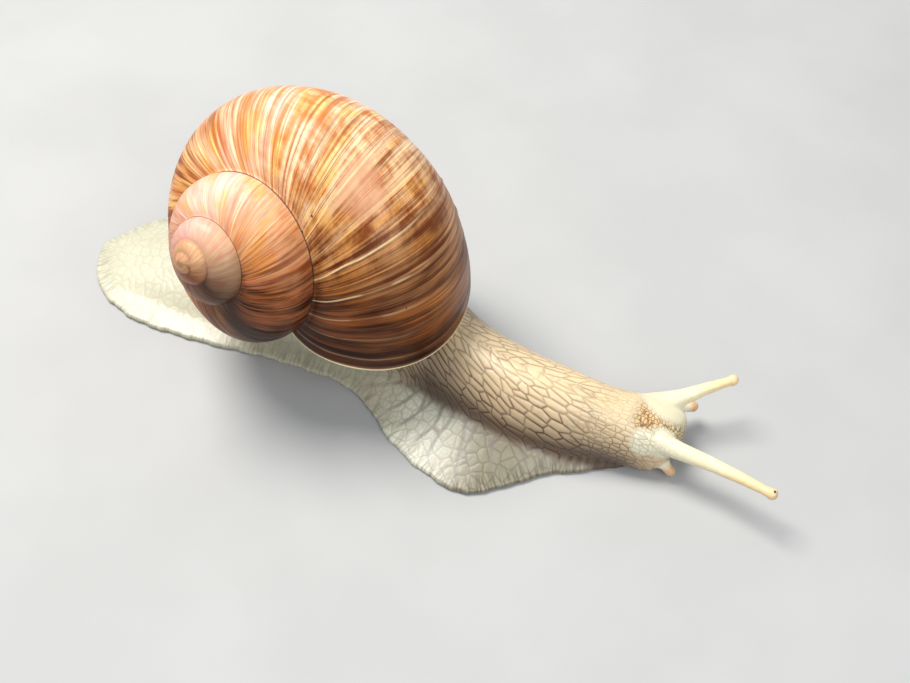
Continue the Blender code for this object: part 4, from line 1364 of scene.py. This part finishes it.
def collar_mesh(coil):
    """The collar's rings, joined and closed in front and behind."""
    rings = [collar_ring(coil, inset, depth) for inset, depth in COLLAR_PROFILE]
    points = [point for ring in rings for point in ring]
    points += [coil.middle + FACING * depth for depth in (COLLAR_PROFILE[0][1], COLLAR_PROFILE[-1][1] + 0.1)]
    count = len(coil.loop)
    last = count * (len(rings) - 1)
    following = [*range(1, count), 0]
    faces = [(k + i, k + j, k + count + j, k + count + i)
             for k in range(0, last, count) for i, j in enumerate(following)]
    for i, j in enumerate(following):
        faces += [(j, i, len(points) - 2), (last + i, last + j, len(points) - 1)]
    mesh = mesh_from("mantle_edge", points, faces)
    face_outwards(mesh)
    return mesh


def make_collar(coil, place):
    """The mantle's soft rolled edge that fills the shell's mouth round the neck."""
    collar = piece_from("mantle_edge", collar_mesh(coil), collar_finish())
    rounded = collar.modifiers.new("round", "SUBSURF")
    rounded.levels = 1
    rounded.render_levels = 1
    flatten(collar)
    collar.data.transform(place)
    smooth_all(collar.data)
    return collar


def collar_finish():
    """Cream, finely pebbled mantle."""
    made, here = material("mantle_cream")
    pebbles = cell_edge(here, 2200.0)
    colour = mix(noise(here, 500.0, 3.0), paint(196, 184, 156), paint(222, 212, 186))
    colour = mix(span(pebbles, 0.12, 0.0, 0.0, 0.5), colour, paint(150, 134, 112))
    return finish(made, Base_Color=colour, Roughness=0.35, Normal=relief(pebbles, 0.00008, 0.6),
                  Subsurface_Weight=0.25, Subsurface_Scale=0.0006, Coat_Weight=0.5, Coat_Roughness=0.15)


def eye_finish():
    """Glossy, all but black."""
    made, here = material("eye_black")
    cloud = noise(here, 9000.0)
    return finish(made, Base_Color=mix(cloud, paint(14, 12, 12), paint(30, 24, 22)), Roughness=0.2,
                  Normal=relief(cloud, 0.00001, 0.2), Coat_Weight=0.8, Coat_Roughness=0.05)


def make_eye(side, look_of_eye):
    """A small black eye near the surface of a feeler's round end, its clear front bulging a little."""
    low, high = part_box("eye_" + side)
    stations, knob = FEELERS[0] if side == "right" else FEELERS[1]
    aim = (Vector(stations[-1][:3]) - Vector(stations[-2][:3])).normalized()
    look = (aim + Vector((0, 0, EYE_LIFT[side]))).normalized()
    out = knob * (EYE_OUT + EYE_PROUD) + FEELER_MORE
    place = (low + high) / 2 - aim * knob * EYE_OUT * MM + look * out * MM
    shape = bmesh.new()
    bmesh.ops.create_icosphere(shape, subdivisions=4, radius=EYE_RADIUS)
    for vertex in shape.verts:
        front = max(0.0, vertex.co.normalized().dot(look) - 0.6) / 0.4
        vertex.co *= 1 + 0.08 * front * front
    mesh = bpy.data.meshes.new("snail_eye_" + side)
    shape.to_mesh(mesh)
    shape.free()
    mesh.transform(Matrix.Translation(place) @ Matrix.Scale(MM, 4))
    smooth_all(mesh)
    return piece_from("snail_eye_" + side, mesh, look_of_eye)


# ------------------------------------------------------------------ camera, light and floor
def set_stage():
    """The view, a pale floor, a soft sky and two soft lamps."""
    scene = bpy.context.scene
    camera = bpy.data.objects.new("camera", bpy.data.cameras.new("camera"))
    scene.collection.objects.link(camera)
    camera.location = CAMERA_AT
    camera.rotation_euler = Vector(CAMERA_AIM).to_track_quat("-Z", "Y").to_euler()
    camera.data.lens = CAMERA_LENS
    camera.data.sensor_width = 36
    camera.data.clip_start = 0.001
    scene.camera = camera
    scene.view_settings.view_transform = "Standard"
    scene.world = bpy.data.worlds.new("studio")
    scene.world.use_nodes = True
    sky = scene.world.node_tree.nodes["Background"]
    sky.inputs["Color"].default_value = (0.88, 0.94, 1.0, 1.0)
    sky.inputs["Strength"].default_value = 0.5
    for name, place, size, power, colour in LAMPS:
        add_lamp(name, place, size, power, colour)
    corners = [(-3, -3, 0), (3, -3, 0), (3, 3, 0), (-3, 3, 0)]
    floor = piece_from("floor", mesh_from("floor", corners, [(0, 1, 2, 3)]), floor_finish())


def floor_finish():
    """Matt pale grey."""
    made, here = material("floor_pale_grey")
    tone = span(noise(here, 40.0, 3.0), 0.3, 0.7)
    return finish(made, Base_Color=mix(tone, paint(166, 166, 165), paint(171, 171, 170)), Roughness=0.75)


def add_lamp(name, place, size, power, colour):
    """A soft round lamp aimed at the snail."""
    data = bpy.data.lights.new(name, "AREA")
    data.shape = "DISK"
    data.size = size
    data.energy = power
    data.color = colour
    lamp = bpy.data.objects.new(name, data)
    bpy.context.scene.collection.objects.link(lamp)
    lamp.location = place
    lamp.rotation_euler = (Vector(LAMP_AIM) - Vector(place)).to_track_quat("-Z", "Y").to_euler()


# ------------------------------------------------------------------ the snail
def main():
    """Build the scene, set each piece on the body that it rides on and hide the solids that it replaces."""
    set_stage()
    shell, coil, place = make_shell()
    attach(shell, "root")
    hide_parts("shell")
    skin = make_skin()
    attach(skin, "root")
    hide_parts(*FLESH)
    collar = make_collar(coil, place)
    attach(collar, "root")
    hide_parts("mantle_collar")
    black = eye_finish()
    for side in ("left", "right"):
        eye = make_eye(side, black)
        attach(eye, "root")
        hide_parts("eye_" + side)


main()
